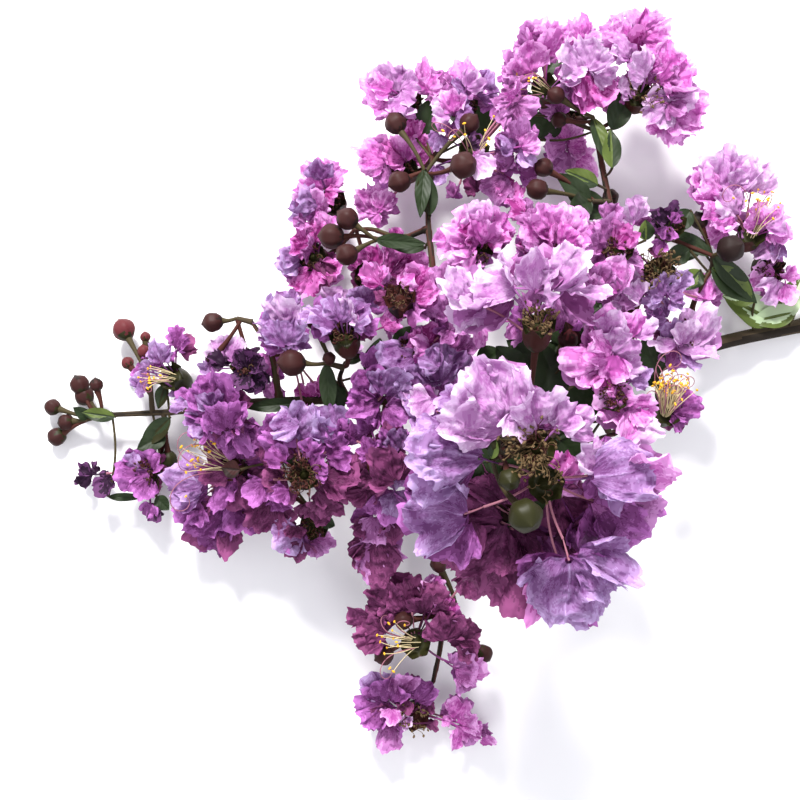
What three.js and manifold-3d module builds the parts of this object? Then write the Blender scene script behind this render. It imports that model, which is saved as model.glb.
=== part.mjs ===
// A cut flowering branch of crape myrtle (Lagerstroemia indica), lying on a flat surface.
// Millimetres. +Z is up from the surface, +X runs towards the cut end of the main stem.
// Limbs carry sprigs of buds and leaves, and one solid for each large bloom: a stalk, a cup with
// its bunch of stamens, and clawed, pleated petals. No two solids touch.

import * as THREE from 'three';
import { mergeVertices } from 'three/addons/utils/BufferGeometryUtils.js';
import Module from 'manifold-3d';

const wasm = await Module();
wasm.setup();

// ---------- driving dimensions ----------

const gap = 0.3; // clear space between neighbouring solids
const footprintMiddle = [8.1, 4.2]; // plan point, in x and y, that becomes the origin
const groundLift = -0.6; // added to every height, so that the lowest point is at zero

const limbSteps = 2; // tube rings for each span of a limb's path
const lineSteps = 6; // places where something may grow, for each ring
const stemSides = 6;
const twigSides = 3;
const twigRadius = 0.8;
const stalk = { radius: 0.6, taper: 0.8, run: 3, bend: 0.4 }; // run: straight part behind a cup
const fork = 0.7; // how far down its twig a sprig's last bud branches off

// Shares of a bud's radius: its two shoulders, its tip, and how far from its middle its stalk ends.
const bud = { sides: 5, width: 0.9, low: 0.5, high: 0.45, tip: 1.15, neck: 0.4 };
const leaf = { thickness: 0.5, widest: 0.42, fold: 0.35 };
const cup = { radius: 3.7, height: 7, sides: 5, heel: 1.4, shoulder: 0.35, sunk: 0.6 };
const tuft = { foot: 0.9, spread: 2.4, height: 6, dome: 0.6 }; // the stamens, as one bunch

// A petal's claw takes its share of the reach, and grows from inside the cup. Its limb is the fan:
// limb is its longest reach, round and corner say how it gets shorter towards its two corners,
// ragged how uneven it is, and steepest the least share of its length that is seen from above.
const claw = { halfWidth: 0.6, share: 0.26, out: 0.6, down: 0.45 };
const petal = {
  thickness: 0.5, halfAngle: 1.2, rimPoints: 5, pleat: 0.12, lean: 0.3, limb: 17, round: 0.13,
  corner: 1.6, ragged: 0.12, steepest: 0.55,
};
const shared = 0.02; // how much two petals of one bloom may run into each other, mm³
const nothing = 1e-6; // mm³

// What a petal may do to stay clear: shrink, lift and swing round, in degrees, and the longest way
// for a stalk to move down its limb, in places, and by how many at a time.
const sizes = [1, 0.9, 0.8, 0.7, 0.6, 0.5];
const lifts = [0, 0.2, -0.2, 0.4, -0.4, 0.7];
const swings = [0, 8, -8, 16, -16];
const stalkMoves = { most: 60, step: 3, room: 0.1 };

// ---------- the plan: limbs, sprigs and blooms ----------

// A limb is one tapering stem. If it has a parent, its first point is moved to just clear of it.
const limbPlan = [
  {
    name: 'main_stem',
    radii: [1.9, 0.7],
    path: [
      [113, 21, 2.2], [85, 15, 9], [62, 7, 17], [36, 2, 24], [8, 0, 25],
      [-20, 0, 22], [-45, -1, 16], [-59, -3, 11], [-78, -4, 7],
    ],
  },
  {
    name: 'stem_upper_right', parent: 'main_stem', radii: [1.1, 0.6],
    path: [[60, 10, 22], [58, 27, 27], [54, 48, 24], [52, 60, 22], [50, 69, 23]],
  },
  {
    name: 'stem_middle', parent: 'main_stem', radii: [1.1, 0.6],
    path: [[10, 4, 28], [9, 18, 33], [8, 33, 34], [7, 46, 30], [8, 61, 27]],
  },
  {
    name: 'stem_left', parent: 'main_stem', radii: [0.9, 0.5],
    path: [[-30, 3, 22], [-33, 12, 24], [-38, 20, 22]],
  },
  {
    name: 'stem_centre_left', parent: 'main_stem', radii: [0.8, 0.5],
    path: [[-15, 2, 26], [-15, 5, 30], [-14, 8, 34]],
  },
  {
    name: 'stem_front', parent: 'main_stem', radii: [1.4, 0.8],
    path: [[34, 0, 28], [32, -1, 42], [29, -5, 52], [28, -9, 58]],
  },
  {
    name: 'stem_right_front', parent: 'main_stem', radii: [1.2, 0.6],
    path: [[52, 4, 24], [55, -4, 33], [51, -8, 41], [47, -5, 47]],
  },
  {
    name: 'stem_hanging', parent: 'main_stem', radii: [1.1, 0.6],
    path: [[12, -3, 25], [12, -25, 20], [11, -45, 17], [11, -63, 13], [9, -76, 8]],
  },
  {
    name: 'stem_lower_left', parent: 'main_stem', radii: [0.9, 0.5],
    path: [[-24, -2, 23], [-26, -10, 26], [-33, -17, 20], [-36, -21, 14]],
  },
  {
    name: 'stem_upper_left', parent: 'stem_middle', radii: [0.8, 0.5],
    path: [[6, 38, 30], [0, 41, 27], [-7, 44, 21], [-12, 45, 14]],
  },
  {
    name: 'stem_right', parent: 'main_stem', radii: [0.9, 0.5],
    path: [[76, 15, 13], [76, 24, 19], [80, 33, 20], [85, 38, 17]],
  },
];

// A sprig is a twig from its limb to its hub. It carries buds [x, y, z, radius], and leaves
// [tip, half width] that grow from the hub.
const sprigPlan = [
  {
    name: 'sprig_tip', limb: 'main_stem', hub: [-84, -5, 6],
    buds: [
      [-95, -2, 4, 2.2], [-94, -10, 3.5, 2.5], [-91, -6, 5, 2.2], [-87, 4, 6, 2.6],
      [-86, 1, 5, 2.6], [-82, 4, 8, 1.8],
    ],
    leaves: [[[-88, -2, 9], 1.6]],
  },
  {
    name: 'sprig_tip_upper', limb: 'main_stem', hub: [-67, 5, 10],
    buds: [[-75, 19, 6, 3], [-69, 13, 9, 1.7], [-69, 17, 7, 1.4], [-74, 10, 6, 1.7]],
    leaves: [],
  },
  {
    name: 'sprig_tip_lower', limb: 'main_stem', hub: [-63, -9, 9],
    buds: [[-70, -15, 7, 2.2], [-63, -16, 6, 2.4]],
    leaves: [[[-70, -13, 12], 2.6]],
  },
  {
    name: 'sprig_left', limb: 'stem_left', hub: [-42, 21, 22],
    buds: [[-48, 20, 22, 2.6], [-48, 11, 20, 2.3]],
    leaves: [],
  },
  {
    name: 'sprig_centre_left', limb: 'stem_centre_left', hub: [-18, 9, 36],
    buds: [[-26, 9, 38, 3.2], [-17, 10, 41, 1.5], [-21, 19, 36, 1.8]],
    leaves: [[[-17, -4, 37], 2]],
  },
  {
    name: 'sprig_upper_left', limb: 'stem_upper_left', hub: [-6, 40, 30],
    buds: [[-13, 45, 31, 2.7], [-17, 41, 29, 3.1], [-13, 36, 33, 2.7]],
    leaves: [[[6, 38, 38], 1.8]],
  },
  {
    name: 'sprig_middle', limb: 'stem_middle', hub: [6, 57, 32],
    buds: [[-1, 69, 30, 2.7], [0, 54, 33, 2.7], [17, 68, 34, 2.4], [15, 56, 42, 3.2]],
    leaves: [[[5, 45, 35], 1.9]],
  },
  {
    name: 'sprig_upper_right', limb: 'stem_upper_right', hub: [49, 72, 25],
    buds: [[39, 76, 30, 2.2], [41, 72, 22, 2]],
    leaves: [[[53, 59, 28], 1.9]],
  },
  {
    name: 'sprig_inner_right', limb: 'stem_upper_right', hub: [48, 50, 28],
    buds: [[34, 52, 33, 2.6], [36, 58, 30, 2.3], [55, 53, 17, 2.2]],
    leaves: [[[39, 57, 29], 2.4], [[42, 47, 33], 3]],
  },
  {
    name: 'sprig_right', limb: 'stem_right', hub: [80, 37, 23],
    buds: [[83, 38, 28, 3.4], [77, 46, 22, 2.2]],
    leaves: [[[93, 25, 20], 2.6], [[70, 44, 21], 2]],
  },
  {
    name: 'sprig_stem_node', limb: 'main_stem', hub: [101, 21, 8],
    buds: [],
    leaves: [[[87, 28, 11], 4], [[109, 34, 9], 3.4]],
  },
  {
    name: 'sprig_front', limb: 'stem_front', hub: [20, -13, 66],
    buds: [[25, -23, 84, 3.4], [22, -16, 82, 2.2], [19, -9, 78, 1.8]],
    leaves: [],
  },
  {
    name: 'sprig_under_front', limb: 'stem_front', hub: [38, 5, 46],
    buds: [[39, 14, 50, 2.4], [47, 6, 50, 1.4]],
    leaves: [[[25, 14, 47], 4], [[46, 16, 41], 4]],
  },
  {
    name: 'sprig_behind_right', limb: 'main_stem', hub: [68, 4, 13],
    buds: [],
    leaves: [[[77, -4, 12], 3.4], [[57, 17, 7], 4]],
  },
  {
    name: 'sprig_hanging', limb: 'stem_hanging', hub: [15, -57, 18],
    buds: [[10, -42, 24, 2.2], [1, -56, 25, 2.4], [22, -67, 14, 2.4]],
    leaves: [],
  },
];

// A bloom's place is the middle of its cup's mouth, its face is the way the cup opens, and each
// petal is [bearing in degrees from +X, reach in mm as seen from above]. A bloom grows on a limb,
// and a small one on a sprig, as part of it. Buds may grow from a bloom's own stalk.
const bloomPlan = [
  {
    name: 'bloom_front_upper', limb: 'stem_front', at: [28, -10, 79], face: [0, 0.25, 1],
    petals: [[128, 24], [100, 24], [72, 21], [46, 19]],
  },
  {
    name: 'bloom_front_lower', limb: 'stem_front', at: [28, -21, 74], face: [0, -0.2, 1],
    petals: [[160, 27], [190, 26], [222, 22], [20, 29], [-10, 26], [-68, 31]],
  },
  {
    name: 'bloom_centre_right', limb: 'stem_front', at: [30, 16, 65], face: [0, 0.7, 0.7],
    petals: [[170, 25], [142, 18], [112, 20], [70, 21], [32, 17]],
  },
  {
    name: 'bloom_hot_right', limb: 'stem_right_front', at: [47, 1, 59], face: [0.1, 0.2, 1],
    petals: [[98, 18], [146, 15], [46, 16], [-52, 16], [186, 12]],
  },
  {
    name: 'bloom_upper_a', limb: 'stem_middle', at: [18, 35, 48], face: [0, 0.3, 1],
    petals: [[92, 12], [140, 13], [44, 13], [190, 12], [-10, 12], [250, 9]],
  },
  {
    name: 'bloom_upper_b', limb: 'stem_front', at: [35, 35, 47], face: [0.1, 0.45, 1],
    petals: [[112, 14], [72, 14], [34, 14], [155, 12], [0, 12]],
  },
  {
    name: 'bloom_centre', limb: 'stem_middle', at: [0, 24, 45], face: [-0.1, 0.5, 0.85],
    petals: [[150, 14], [110, 11], [70, 11], [25, 13], [190, 14]],
  },
  {
    name: 'bloom_middle', limb: 'stem_middle', at: [2, 11, 38], face: [0.1, 0.2, 1],
    petals: [[150, 16], [95, 15], [40, 17], [350, 18], [210, 16], [285, 14]],
  },
  {
    name: 'bloom_centre_left', limb: 'stem_centre_left', at: [-13, 15, 43], face: [-0.1, 0.6, 0.75],
    petals: [[160, 13], [122, 12], [84, 11], [40, 13], [5, 12]],
  },
  {
    name: 'bloom_middle_low', limb: 'main_stem', at: [-4, -15, 44], face: [0, 0, 1],
    petals: [[116, 19], [84, 18], [52, 16], [155, 13], [205, 13], [255, 13]],
  },
  {
    name: 'bloom_left_low', limb: 'stem_lower_left', at: [-23, -18, 40], face: [-0.1, 0.2, 1],
    petals: [[130, 16], [92, 15], [54, 13], [176, 15], [230, 12], [345, 10]],
  },
  {
    name: 'bloom_right_inner', limb: 'stem_right_front', at: [63, 31, 36], face: [0.1, -0.1, 1],
    petals: [[218, 15], [268, 13], [322, 13], [100, 12], [160, 13]],
  },
  {
    name: 'bloom_right_lilac', limb: 'stem_right', at: [73, 17, 25], face: [0.2, 0.2, 1],
    petals: [[48, 12], [98, 11], [350, 11], [285, 9], [170, 12]],
  },
  {
    name: 'bloom_right_far', limb: 'stem_right', at: [91, 43, 20], face: [0.1, 0.4, 0.9],
    petals: [[120, 25], [84, 20], [156, 19], [52, 14], [14, 12], [345, 12], [300, 14]],
  },
  {
    name: 'bloom_right_edge', sprig: 'sprig_stem_node', at: [98, 35, 13], face: [0.2, -0.2, 1],
    petals: [[245, 10], [300, 10], [15, 10]],
  },
  {
    name: 'bloom_right_upper', limb: 'stem_upper_right', at: [52, 36, 42], face: [0, 0.3, 1],
    petals: [[92, 12], [145, 10], [38, 12], [230, 10], [320, 11]],
  },
  {
    name: 'bloom_right_withered', sprig: 'sprig_right', at: [68, 44, 28], face: [0, 0.3, 1],
    petals: [[90, 7], [145, 7], [25, 7]],
  },
  {
    name: 'bloom_right_low', limb: 'stem_right_front', at: [66, -3, 31], face: [0.2, 0.3, 0.9],
    petals: [[25, 12], [345, 11], [300, 9]],
  },
  {
    name: 'bloom_crown_right', limb: 'stem_upper_right', at: [61, 77, 26], face: [0.1, 0.2, 1],
    petals: [[88, 25], [50, 21], [8, 17], [335, 17], [292, 13], [146, 18]],
  },
  {
    name: 'bloom_crown_left', limb: 'stem_upper_right', at: [37, 79, 25], face: [-0.1, 0.3, 1],
    petals: [[112, 19], [152, 16], [70, 19], [30, 19], [208, 13]],
  },
  {
    name: 'bloom_crown_back', sprig: 'sprig_upper_right', at: [46, 74, 9.6], face: [0, -0.4, 0.8],
    petals: [[245, 13], [268, 20], [292, 14], [90, 18], [35, 16]],
  },
  {
    name: 'bloom_top_left', limb: 'stem_middle', at: [2, 77, 22], face: [-0.2, 0.2, 1],
    petals: [[170, 13], [130, 14], [90, 12], [222, 11]],
  },
  {
    name: 'bloom_top', limb: 'stem_middle', at: [16, 75, 23], face: [0.1, 0.2, 1],
    petals: [[98, 14], [146, 13], [50, 15], [2, 15], [-60, 13]],
  },
  {
    name: 'bloom_top_front', limb: 'stem_middle', at: [18, 61, 34], face: [0.2, 0.1, 1],
    petals: [[105, 13], [52, 17], [6, 15], [315, 14], [240, 11]],
  },
  {
    name: 'bloom_top_low', limb: 'stem_middle', at: [1, 60, 19], face: [-0.3, 0.1, 1],
    petals: [[175, 14], [132, 14], [215, 14], [80, 11], [28, 13]],
  },
  {
    name: 'bloom_left_top', limb: 'stem_upper_left', at: [-18, 53, 12], face: [-0.2, 0.2, 1],
    petals: [[120, 13], [74, 11], [168, 11], [225, 12]],
  },
  {
    name: 'bloom_left_upper', limb: 'stem_upper_left', at: [-23, 38, 12], face: [-0.3, 0, 1],
    petals: [[160, 11], [118, 12], [205, 12], [250, 11]],
  },
  {
    name: 'bloom_left_behind', limb: 'stem_upper_left', at: [-8, 32, 20], face: [0, -0.1, 1],
    petals: [[170, 17], [5, 16], [48, 14], [212, 15], [255, 14], [310, 15]],
  },
  {
    name: 'bloom_left_pale', limb: 'stem_left', at: [-29, 17, 31], face: [-0.1, 0.4, 0.9],
    petals: [[165, 11], [118, 11], [50, 10], [215, 10], [320, 10]],
  },
  {
    name: 'bloom_left_dark', sprig: 'sprig_left', at: [-39, 9, 26], face: [-0.1, 0.2, 1],
    petals: [[60, 7], [190, 7], [290, 7]],
  },
  {
    name: 'bloom_left_violet', limb: 'main_stem', at: [-44, -3, 29], face: [-0.2, 0.2, 1],
    petals: [[150, 15], [190, 15], [102, 12], [232, 14], [40, 9]],
  },
  {
    name: 'bloom_left_spent', sprig: 'sprig_tip_upper', at: [-60, 6, 15], face: [-0.5, 0.3, 0.8],
    petals: [[90, 12], [130, 11], [175, 11]],
  },
  {
    name: 'bloom_left_fan', limb: 'stem_lower_left', at: [-43, -17, 22], face: [-0.4, 0, 0.9],
    petals: [[165, 15], [200, 16], [235, 13], [120, 10]],
  },
  {
    name: 'bloom_left_far', sprig: 'sprig_tip_lower', at: [-68, -19, 10], face: [-0.3, -0.2, 1],
    petals: [[196, 18], [228, 13], [265, 11], [320, 11]],
  },
  {
    name: 'bloom_low_left', limb: 'stem_lower_left', at: [-43, -28, 14], face: [-0.1, -0.3, 1],
    petals: [[236, 15], [262, 14], [288, 11], [185, 11]],
  },
  {
    name: 'bloom_low_mauve', limb: 'stem_lower_left', at: [-22, -32, 21], face: [-0.1, -0.3, 1],
    petals: [[212, 12], [258, 11], [292, 11], [165, 11]],
  },
  {
    name: 'bloom_low_middle', limb: 'stem_hanging', at: [-2, -31, 29], face: [0, -0.2, 1],
    petals: [[262, 15], [300, 13], [222, 14], [175, 12], [350, 11]],
  },
  {
    name: 'bloom_low_dark', limb: 'stem_front', at: [33, -35, 51], face: [-0.2, -0.3, 1],
    petals: [[168, 18], [202, 20], [240, 15], [330, 12], [20, 12]],
  },
  {
    name: 'bloom_hanging_upper', limb: 'stem_hanging', at: [4, -62, 24], face: [0, 0, 1],
    petals: [[142, 19], [100, 17], [182, 17], [42, 16], [335, 17]],
    buds: [[-4, -66, 20, 2.5]],
  },
  {
    name: 'bloom_hanging_lower', limb: 'stem_hanging', at: [4, -85, 9], face: [0, -0.1, 1],
    petals: [[140, 16], [178, 14], [100, 12], [225, 10], [10, 16], [-22, 12]],
  },
];

const colours = { bark: 0x4c4034, leaf: 0x35562d, pink: 0xc85fc0 };

// ---------- small helpers ----------

const vector = ([x, y, z]) => new THREE.Vector3(x, y, z);
const upwards = new THREE.Vector3(0, 0, 1);

// The same number between 0 and 1 every time for the same two counters.
function chance(seed, draw) {
  const value = Math.sin(seed * 12.9898 + draw * 78.233) * 43758.5453;
  return value - Math.floor(value);
}

// A smooth curve through the points, in as many steps as asked.
function smoothPath(points, steps) {
  const curve = new THREE.CatmullRomCurve3(points, false, 'catmullrom', 0.5);
  return curve.getPoints(steps);
}

// ---------- solids ----------

// A closed mesh as a solid that can be joined and cut.
function solidOf(geometry) {
  const plain = geometry.clone();
  plain.deleteAttribute('normal');
  plain.deleteAttribute('uv');
  const merged = mergeVertices(plain, 1e-4);
  const index = merged.index.array;
  const faces = [];
  for (let i = 0; i < index.length; i += 3) {
    const [a, b, c] = [index[i], index[i + 1], index[i + 2]];
    if (a !== b && b !== c && c !== a) faces.push(a, b, c);
  }
  const vertProperties = new Float32Array(merged.attributes.position.array);
  const mesh = new wasm.Mesh({ numProp: 3, vertProperties, triVerts: new Uint32Array(faces) });
  return new wasm.Manifold(mesh);
}

function geometryOf(solid) {
  const mesh = solid.getMesh();
  const geometry = new THREE.BufferGeometry();
  geometry.setAttribute('position', new THREE.BufferAttribute(mesh.vertProperties, 3));
  geometry.setIndex(new THREE.BufferAttribute(mesh.triVerts, 1));
  return geometry;
}

function facets(points, index) {
  const geometry = new THREE.BufferGeometry().setFromPoints(points);
  geometry.setIndex(index);
  return solidOf(geometry);
}

// A tube through the samples, its radius going evenly from one end to the other.
function tube(samples, radii, sides) {
  const steps = samples.length - 1;
  const points = [];
  const across = new THREE.Vector3();
  samples.forEach((sample, ring) => {
    const before = samples[Math.max(ring - 1, 0)];
    const after = samples[Math.min(ring + 1, steps)];
    const tangent = after.clone().sub(before).normalize();
    if (ring === 0) across.crossVectors(upwards, tangent);
    if (across.length() < 0.1) across.set(1, 0, 0);
    across.addScaledVector(tangent, -across.dot(tangent)).normalize();
    const radius = THREE.MathUtils.lerp(radii[0], radii[1], ring / steps);
    for (let k = 0; k < sides; k++) {
      const spoke = across.clone().applyAxisAngle(tangent, (k / sides) * 2 * Math.PI);
      points.push(sample.clone().addScaledVector(spoke, radius));
    }
  });
  const index = [];
  for (let ring = 0; ring < steps; ring++) {
    for (let k = 0; k < sides; k++) {
      const a = ring * sides + k;
      const b = ring * sides + ((k + 1) % sides);
      index.push(a, b, b + sides, a, b + sides, a + sides);
    }
  }
  const end = steps * sides;
  for (let k = 1; k < sides - 1; k++) {
    index.push(0, k + 1, k, end, end + k, end + k + 1);
  }
  return facets(points, index);
}

// A turned piece: its profile of [radius, height] goes up along the axis from its foot.
function turned(profile, sides, foot, axis) {
  const geometry = new THREE.LatheGeometry(profile.map(([r, h]) => new THREE.Vector2(r, h)), sides);
  const turn = new THREE.Quaternion();
  turn.setFromUnitVectors(new THREE.Vector3(0, 1, 0), axis.clone().normalize());
  geometry.applyQuaternion(turn);
  geometry.translate(foot.x, foot.y, foot.z);
  return solidOf(geometry);
}

// A thin closed sheet: the same faces above and below the points, with a rim round the outline.
function sheet(points, normal, faces, outline, thickness) {
  const count = points.length;
  const top = points.map((p) => p.clone().addScaledVector(normal, thickness / 2));
  const under = points.map((p) => p.clone().addScaledVector(normal, -thickness / 2));
  const index = faces.flatMap(([a, b, c]) => [a, b, c, a + count, c + count, b + count]);
  outline.forEach((a, i) => {
    const b = outline[(i + 1) % outline.length];
    index.push(a, a + count, b, b, a + count, b + count);
  });
  return facets([...top, ...under], index);
}

// A leaf of eight faces, folded up along its midrib.
function leafSolid([tip, halfWidth], start, extra = 0) {
  const end = vector(tip);
  const along = end.clone().sub(start).normalize();
  const side = upwards.clone().cross(along).normalize();
  const up = along.clone().cross(side);
  const half = halfWidth + extra;
  const middle = start.clone().lerp(end, leaf.widest);
  const edge = middle.clone().addScaledVector(up, half * leaf.fold);
  const left = edge.clone().addScaledVector(side, half);
  const right = edge.clone().addScaledVector(side, -half);
  end.addScaledVector(along, extra);
  const faces = [[0, 2, 1], [0, 3, 2], [1, 2, 4], [2, 3, 4]];
  const thickness = leaf.thickness + 2 * extra;
  return sheet([start, left, middle, right, end], up, faces, [0, 3, 4, 1], thickness);
}

// A bud, [x, y, z, radius], with its own stalk from the given spot.
function budPieces([x, y, z, radius], from, extra = 0) {
  const centre = new THREE.Vector3(x, y, z);
  const axis = centre.clone().sub(from).normalize();
  const neck = centre.clone().addScaledVector(axis, -bud.neck * radius);
  const radii = [stalk.radius + extra, stalk.radius * stalk.taper + extra];
  const r = radius + extra;
  const w = bud.width * r;
  const profile = [[0, -r], [w, -bud.low * r], [w, bud.high * r], [0, bud.tip * r]];
  const body = turned(profile, bud.sides, centre, axis);
  return [tube([from, neck], radii, twigSides), body];
}

// A cup that narrows to its stalk, with the stamens standing in its mouth.
function cupSolid(at, face, extra = 0) {
  const r = cup.radius + extra;
  const h = cup.height + extra;
  const profile = [
    [0, -h], [stalk.radius * cup.heel + extra, -h], [r, -cup.shoulder * h],
    [tuft.foot + extra, 0], [tuft.spread + extra, tuft.height],
    [0, tuft.height + tuft.dome + extra],
  ];
  return turned(profile, cup.sides, at, face);
}

// One petal: a claw from the cup, then a broad fan whose rim goes up and down in pleats.
function petalSolid(bloom, bearing, reach, lift, draw, extra = 0) {
  const face = vector(bloom.face).normalize();
  const angle = THREE.MathUtils.degToRad(bearing);
  const out = new THREE.Vector3(Math.cos(angle), Math.sin(angle), 0);
  out.addScaledVector(face, -out.dot(face)).normalize();
  out.addScaledVector(face, petal.lean + lift).normalize();
  const length = reach / Math.max(Math.hypot(out.x, out.y), petal.steepest);
  const up = face.clone().addScaledVector(out, -face.dot(out)).normalize();
  const side = up.clone().cross(out);
  const start = cup.radius * claw.out;
  const root = vector(bloom.at).addScaledVector(out, start);
  root.addScaledVector(face, -cup.height * claw.down);
  const fan = Math.min(length * (1 - claw.share) - start, petal.limb);
  const clawEnd = root.clone().addScaledVector(out, length - start - fan);
  const clawHalf = claw.halfWidth + extra;
  const points = [root, clawEnd].flatMap((spot) => [
    spot.clone().addScaledVector(side, clawHalf),
    spot.clone().addScaledVector(side, -clawHalf),
  ]);
  for (let k = 0; k < petal.rimPoints; k++) {
    const turn = petal.halfAngle * (1 - (2 * k) / (petal.rimPoints - 1));
    const uneven = 1 + petal.ragged * (chance(draw, k) - 0.5);
    const far = fan * (1 - petal.round * (1 - Math.cos(turn * petal.corner))) * uneven + extra;
    const pleat = (k % 2 ? 1 : -1) * petal.pleat * fan;
    const rim = clawEnd.clone().addScaledVector(out, far * Math.cos(turn));
    points.push(rim.addScaledVector(side, far * Math.sin(turn)).addScaledVector(up, pleat));
  }
  const first = 4;
  const last = points.length - 1;
  const middle = Math.floor((first + last) / 2);
  const faces = [[0, 1, 3], [0, 3, 2], [2, 3, middle]];
  for (let k = first; k < last; k++) {
    faces.push([k < middle ? 2 : 3, k + 1, k]);
  }
  const rim = Array.from({ length: petal.rimPoints }, (_, k) => last - k);
  return sheet(points, up, faces, [0, 1, 3, ...rim, 2], petal.thickness + 2 * extra);
}

// ---------- placing without touching ----------

const placed = [];
const nodes = new Map(); // node name to its pieces and its colour

function overlaps(solid, others, limit) {
  const box = solid.boundingBox();
  const meets = (b) => [0, 1, 2].every((i) => box.min[i] <= b.max[i] && b.min[i] <= box.max[i]);
  return others.some((o) => meets(o.box) && solid.intersect(o.solid).volume() > limit);
}

// Whether a guard, which is a piece made wider all round, meets a solid of another node.
function meetsOthers(guard, owner) {
  return overlaps(guard, placed.filter((o) => o.owner !== owner), nothing);
}

function place(owner, solid) {
  placed.push({ owner, solid, box: solid.boundingBox() });
  nodes.get(owner).pieces.push(solid);
}

function addNode(name, colour) {
  nodes.set(name, { pieces: [], colour });
}

const limbLines = new Map(); // limb name to its middle line and its radii

// A point just clear of a limb, on the side that faces the spot, and the way out from it: the
// nearest such point, or one further along for each place skipped.
function footOn(limbName, spot, skip = 0) {
  const { samples, radii } = limbLines.get(limbName);
  const order = samples.map((sample, i) => [sample.distanceTo(spot), i]);
  order.sort((a, b) => a[0] - b[0]);
  const i = order[Math.min(skip, order.length - 1)][1];
  const radius = THREE.MathUtils.lerp(radii[0], radii[1], i / (samples.length - 1));
  const away = spot.clone().sub(samples[i]);
  if (i < samples.length - 1) {
    const along = samples[i + 1].clone().sub(samples[i]).normalize();
    away.addScaledVector(along, -away.dot(along));
  }
  away.normalize();
  return { foot: samples[i].clone().addScaledVector(away, radius + gap), away };
}

// ---------- limbs ----------

for (const plan of limbPlan) {
  const points = plan.path.map(vector);
  if (plan.parent) points[0] = footOn(plan.parent, points[1]).foot;
  const steps = (points.length - 1) * limbSteps;
  addNode(plan.name, colours.bark);
  place(plan.name, tube(smoothPath(points, steps), plan.radii, stemSides));
  limbLines.set(plan.name, { samples: smoothPath(points, steps * lineSteps), radii: plan.radii });
}

// ---------- sprigs ----------

const hubs = new Map();

for (const plan of sprigPlan) {
  const hub = vector(plan.hub);
  const { foot } = footOn(plan.limb, hub);
  addNode(plan.name, colours.leaf);
  hubs.set(plan.name, hub);
  place(plan.name, tube([foot, hub], [twigRadius, stalk.radius], twigSides));
  plan.buds.forEach((spec, k) => {
    const from = hub.clone().lerp(foot, (fork * k) / plan.buds.length);
    for (const piece of budPieces(spec, from)) place(plan.name, piece);
  });
  for (const spec of plan.leaves) place(plan.name, leafSolid(spec, hub));
}

// ---------- blooms: first every stalk and cup, then the petals between them ----------

for (const plan of bloomPlan) {
  const owner = plan.sprig ?? plan.name;
  const at = vector(plan.at);
  const face = vector(plan.face).normalize();
  const heel = at.clone().addScaledVector(face, cup.sunk - cup.height);
  const behind = heel.clone().addScaledVector(face, -stalk.run);
  if (!plan.sprig) addNode(owner, colours.pink);
  const stalkTube = ({ foot, away }, extra = 0) => {
    const bend = foot.clone().addScaledVector(away, stalk.bend * foot.distanceTo(behind));
    const radii = [stalk.radius + extra, stalk.radius + extra];
    return tube([heel, bend, foot], radii, twigSides);
  };
  let root = { foot: hubs.get(plan.sprig), away: new THREE.Vector3() };
  for (let skip = 0; !plan.sprig && skip < stalkMoves.most; skip += stalkMoves.step) {
    root = footOn(plan.limb, behind, skip);
    if (!meetsOthers(stalkTube(root, stalkMoves.room), owner)) break;
  }
  place(owner, stalkTube(root));
  place(owner, cupSolid(at, face));
  const buds = plan.buds ?? [];
  for (const piece of buds.flatMap((spec) => budPieces(spec, heel))) place(owner, piece);
}

// Each petal is tried as planned, then swung, lifted and drawn in, until it is clear of all else.
const tries = sizes.flatMap((size) => (
  lifts.flatMap((lift) => swings.map((swing) => ({ size, lift, swing })))
));

bloomPlan.forEach((plan, number) => {
  const owner = plan.sprig ?? plan.name;
  const own = [];
  plan.petals.forEach(([bearing, reach], k) => {
    const draw = number * plan.petals.length + k;
    const shape = ({ size, lift, swing }) => [plan, bearing + swing, reach * size, lift, draw];
    const isClear = (attempt) => (
      !meetsOthers(petalSolid(...shape(attempt), gap), owner)
      && !overlaps(petalSolid(...shape(attempt)), own, shared)
    );
    const found = tries.find(isClear);
    if (!found) return;
    const solid = petalSolid(...shape(found));
    own.push({ solid, box: solid.boundingBox() });
    place(owner, solid);
  });
});

// ---------- the group ----------

const group = new THREE.Group();
for (const [name, { pieces, colour }] of nodes) {
  const material = new THREE.MeshStandardMaterial({ color: colour, roughness: 0.6, metalness: 0 });
  const mesh = new THREE.Mesh(geometryOf(wasm.Manifold.union(pieces)), material);
  mesh.name = name;
  group.add(mesh);
}
group.position.set(-footprintMiddle[0], -footprintMiddle[1], groundLift);

export default group;
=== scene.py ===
# A cut flowering branch of crape myrtle, lying on a pale floor and seen from straight above.
# The plan is in millimetres, as it is drawn for the solids. Each mesh is turned into metres, in the
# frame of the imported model, when it is made.

import math

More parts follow.
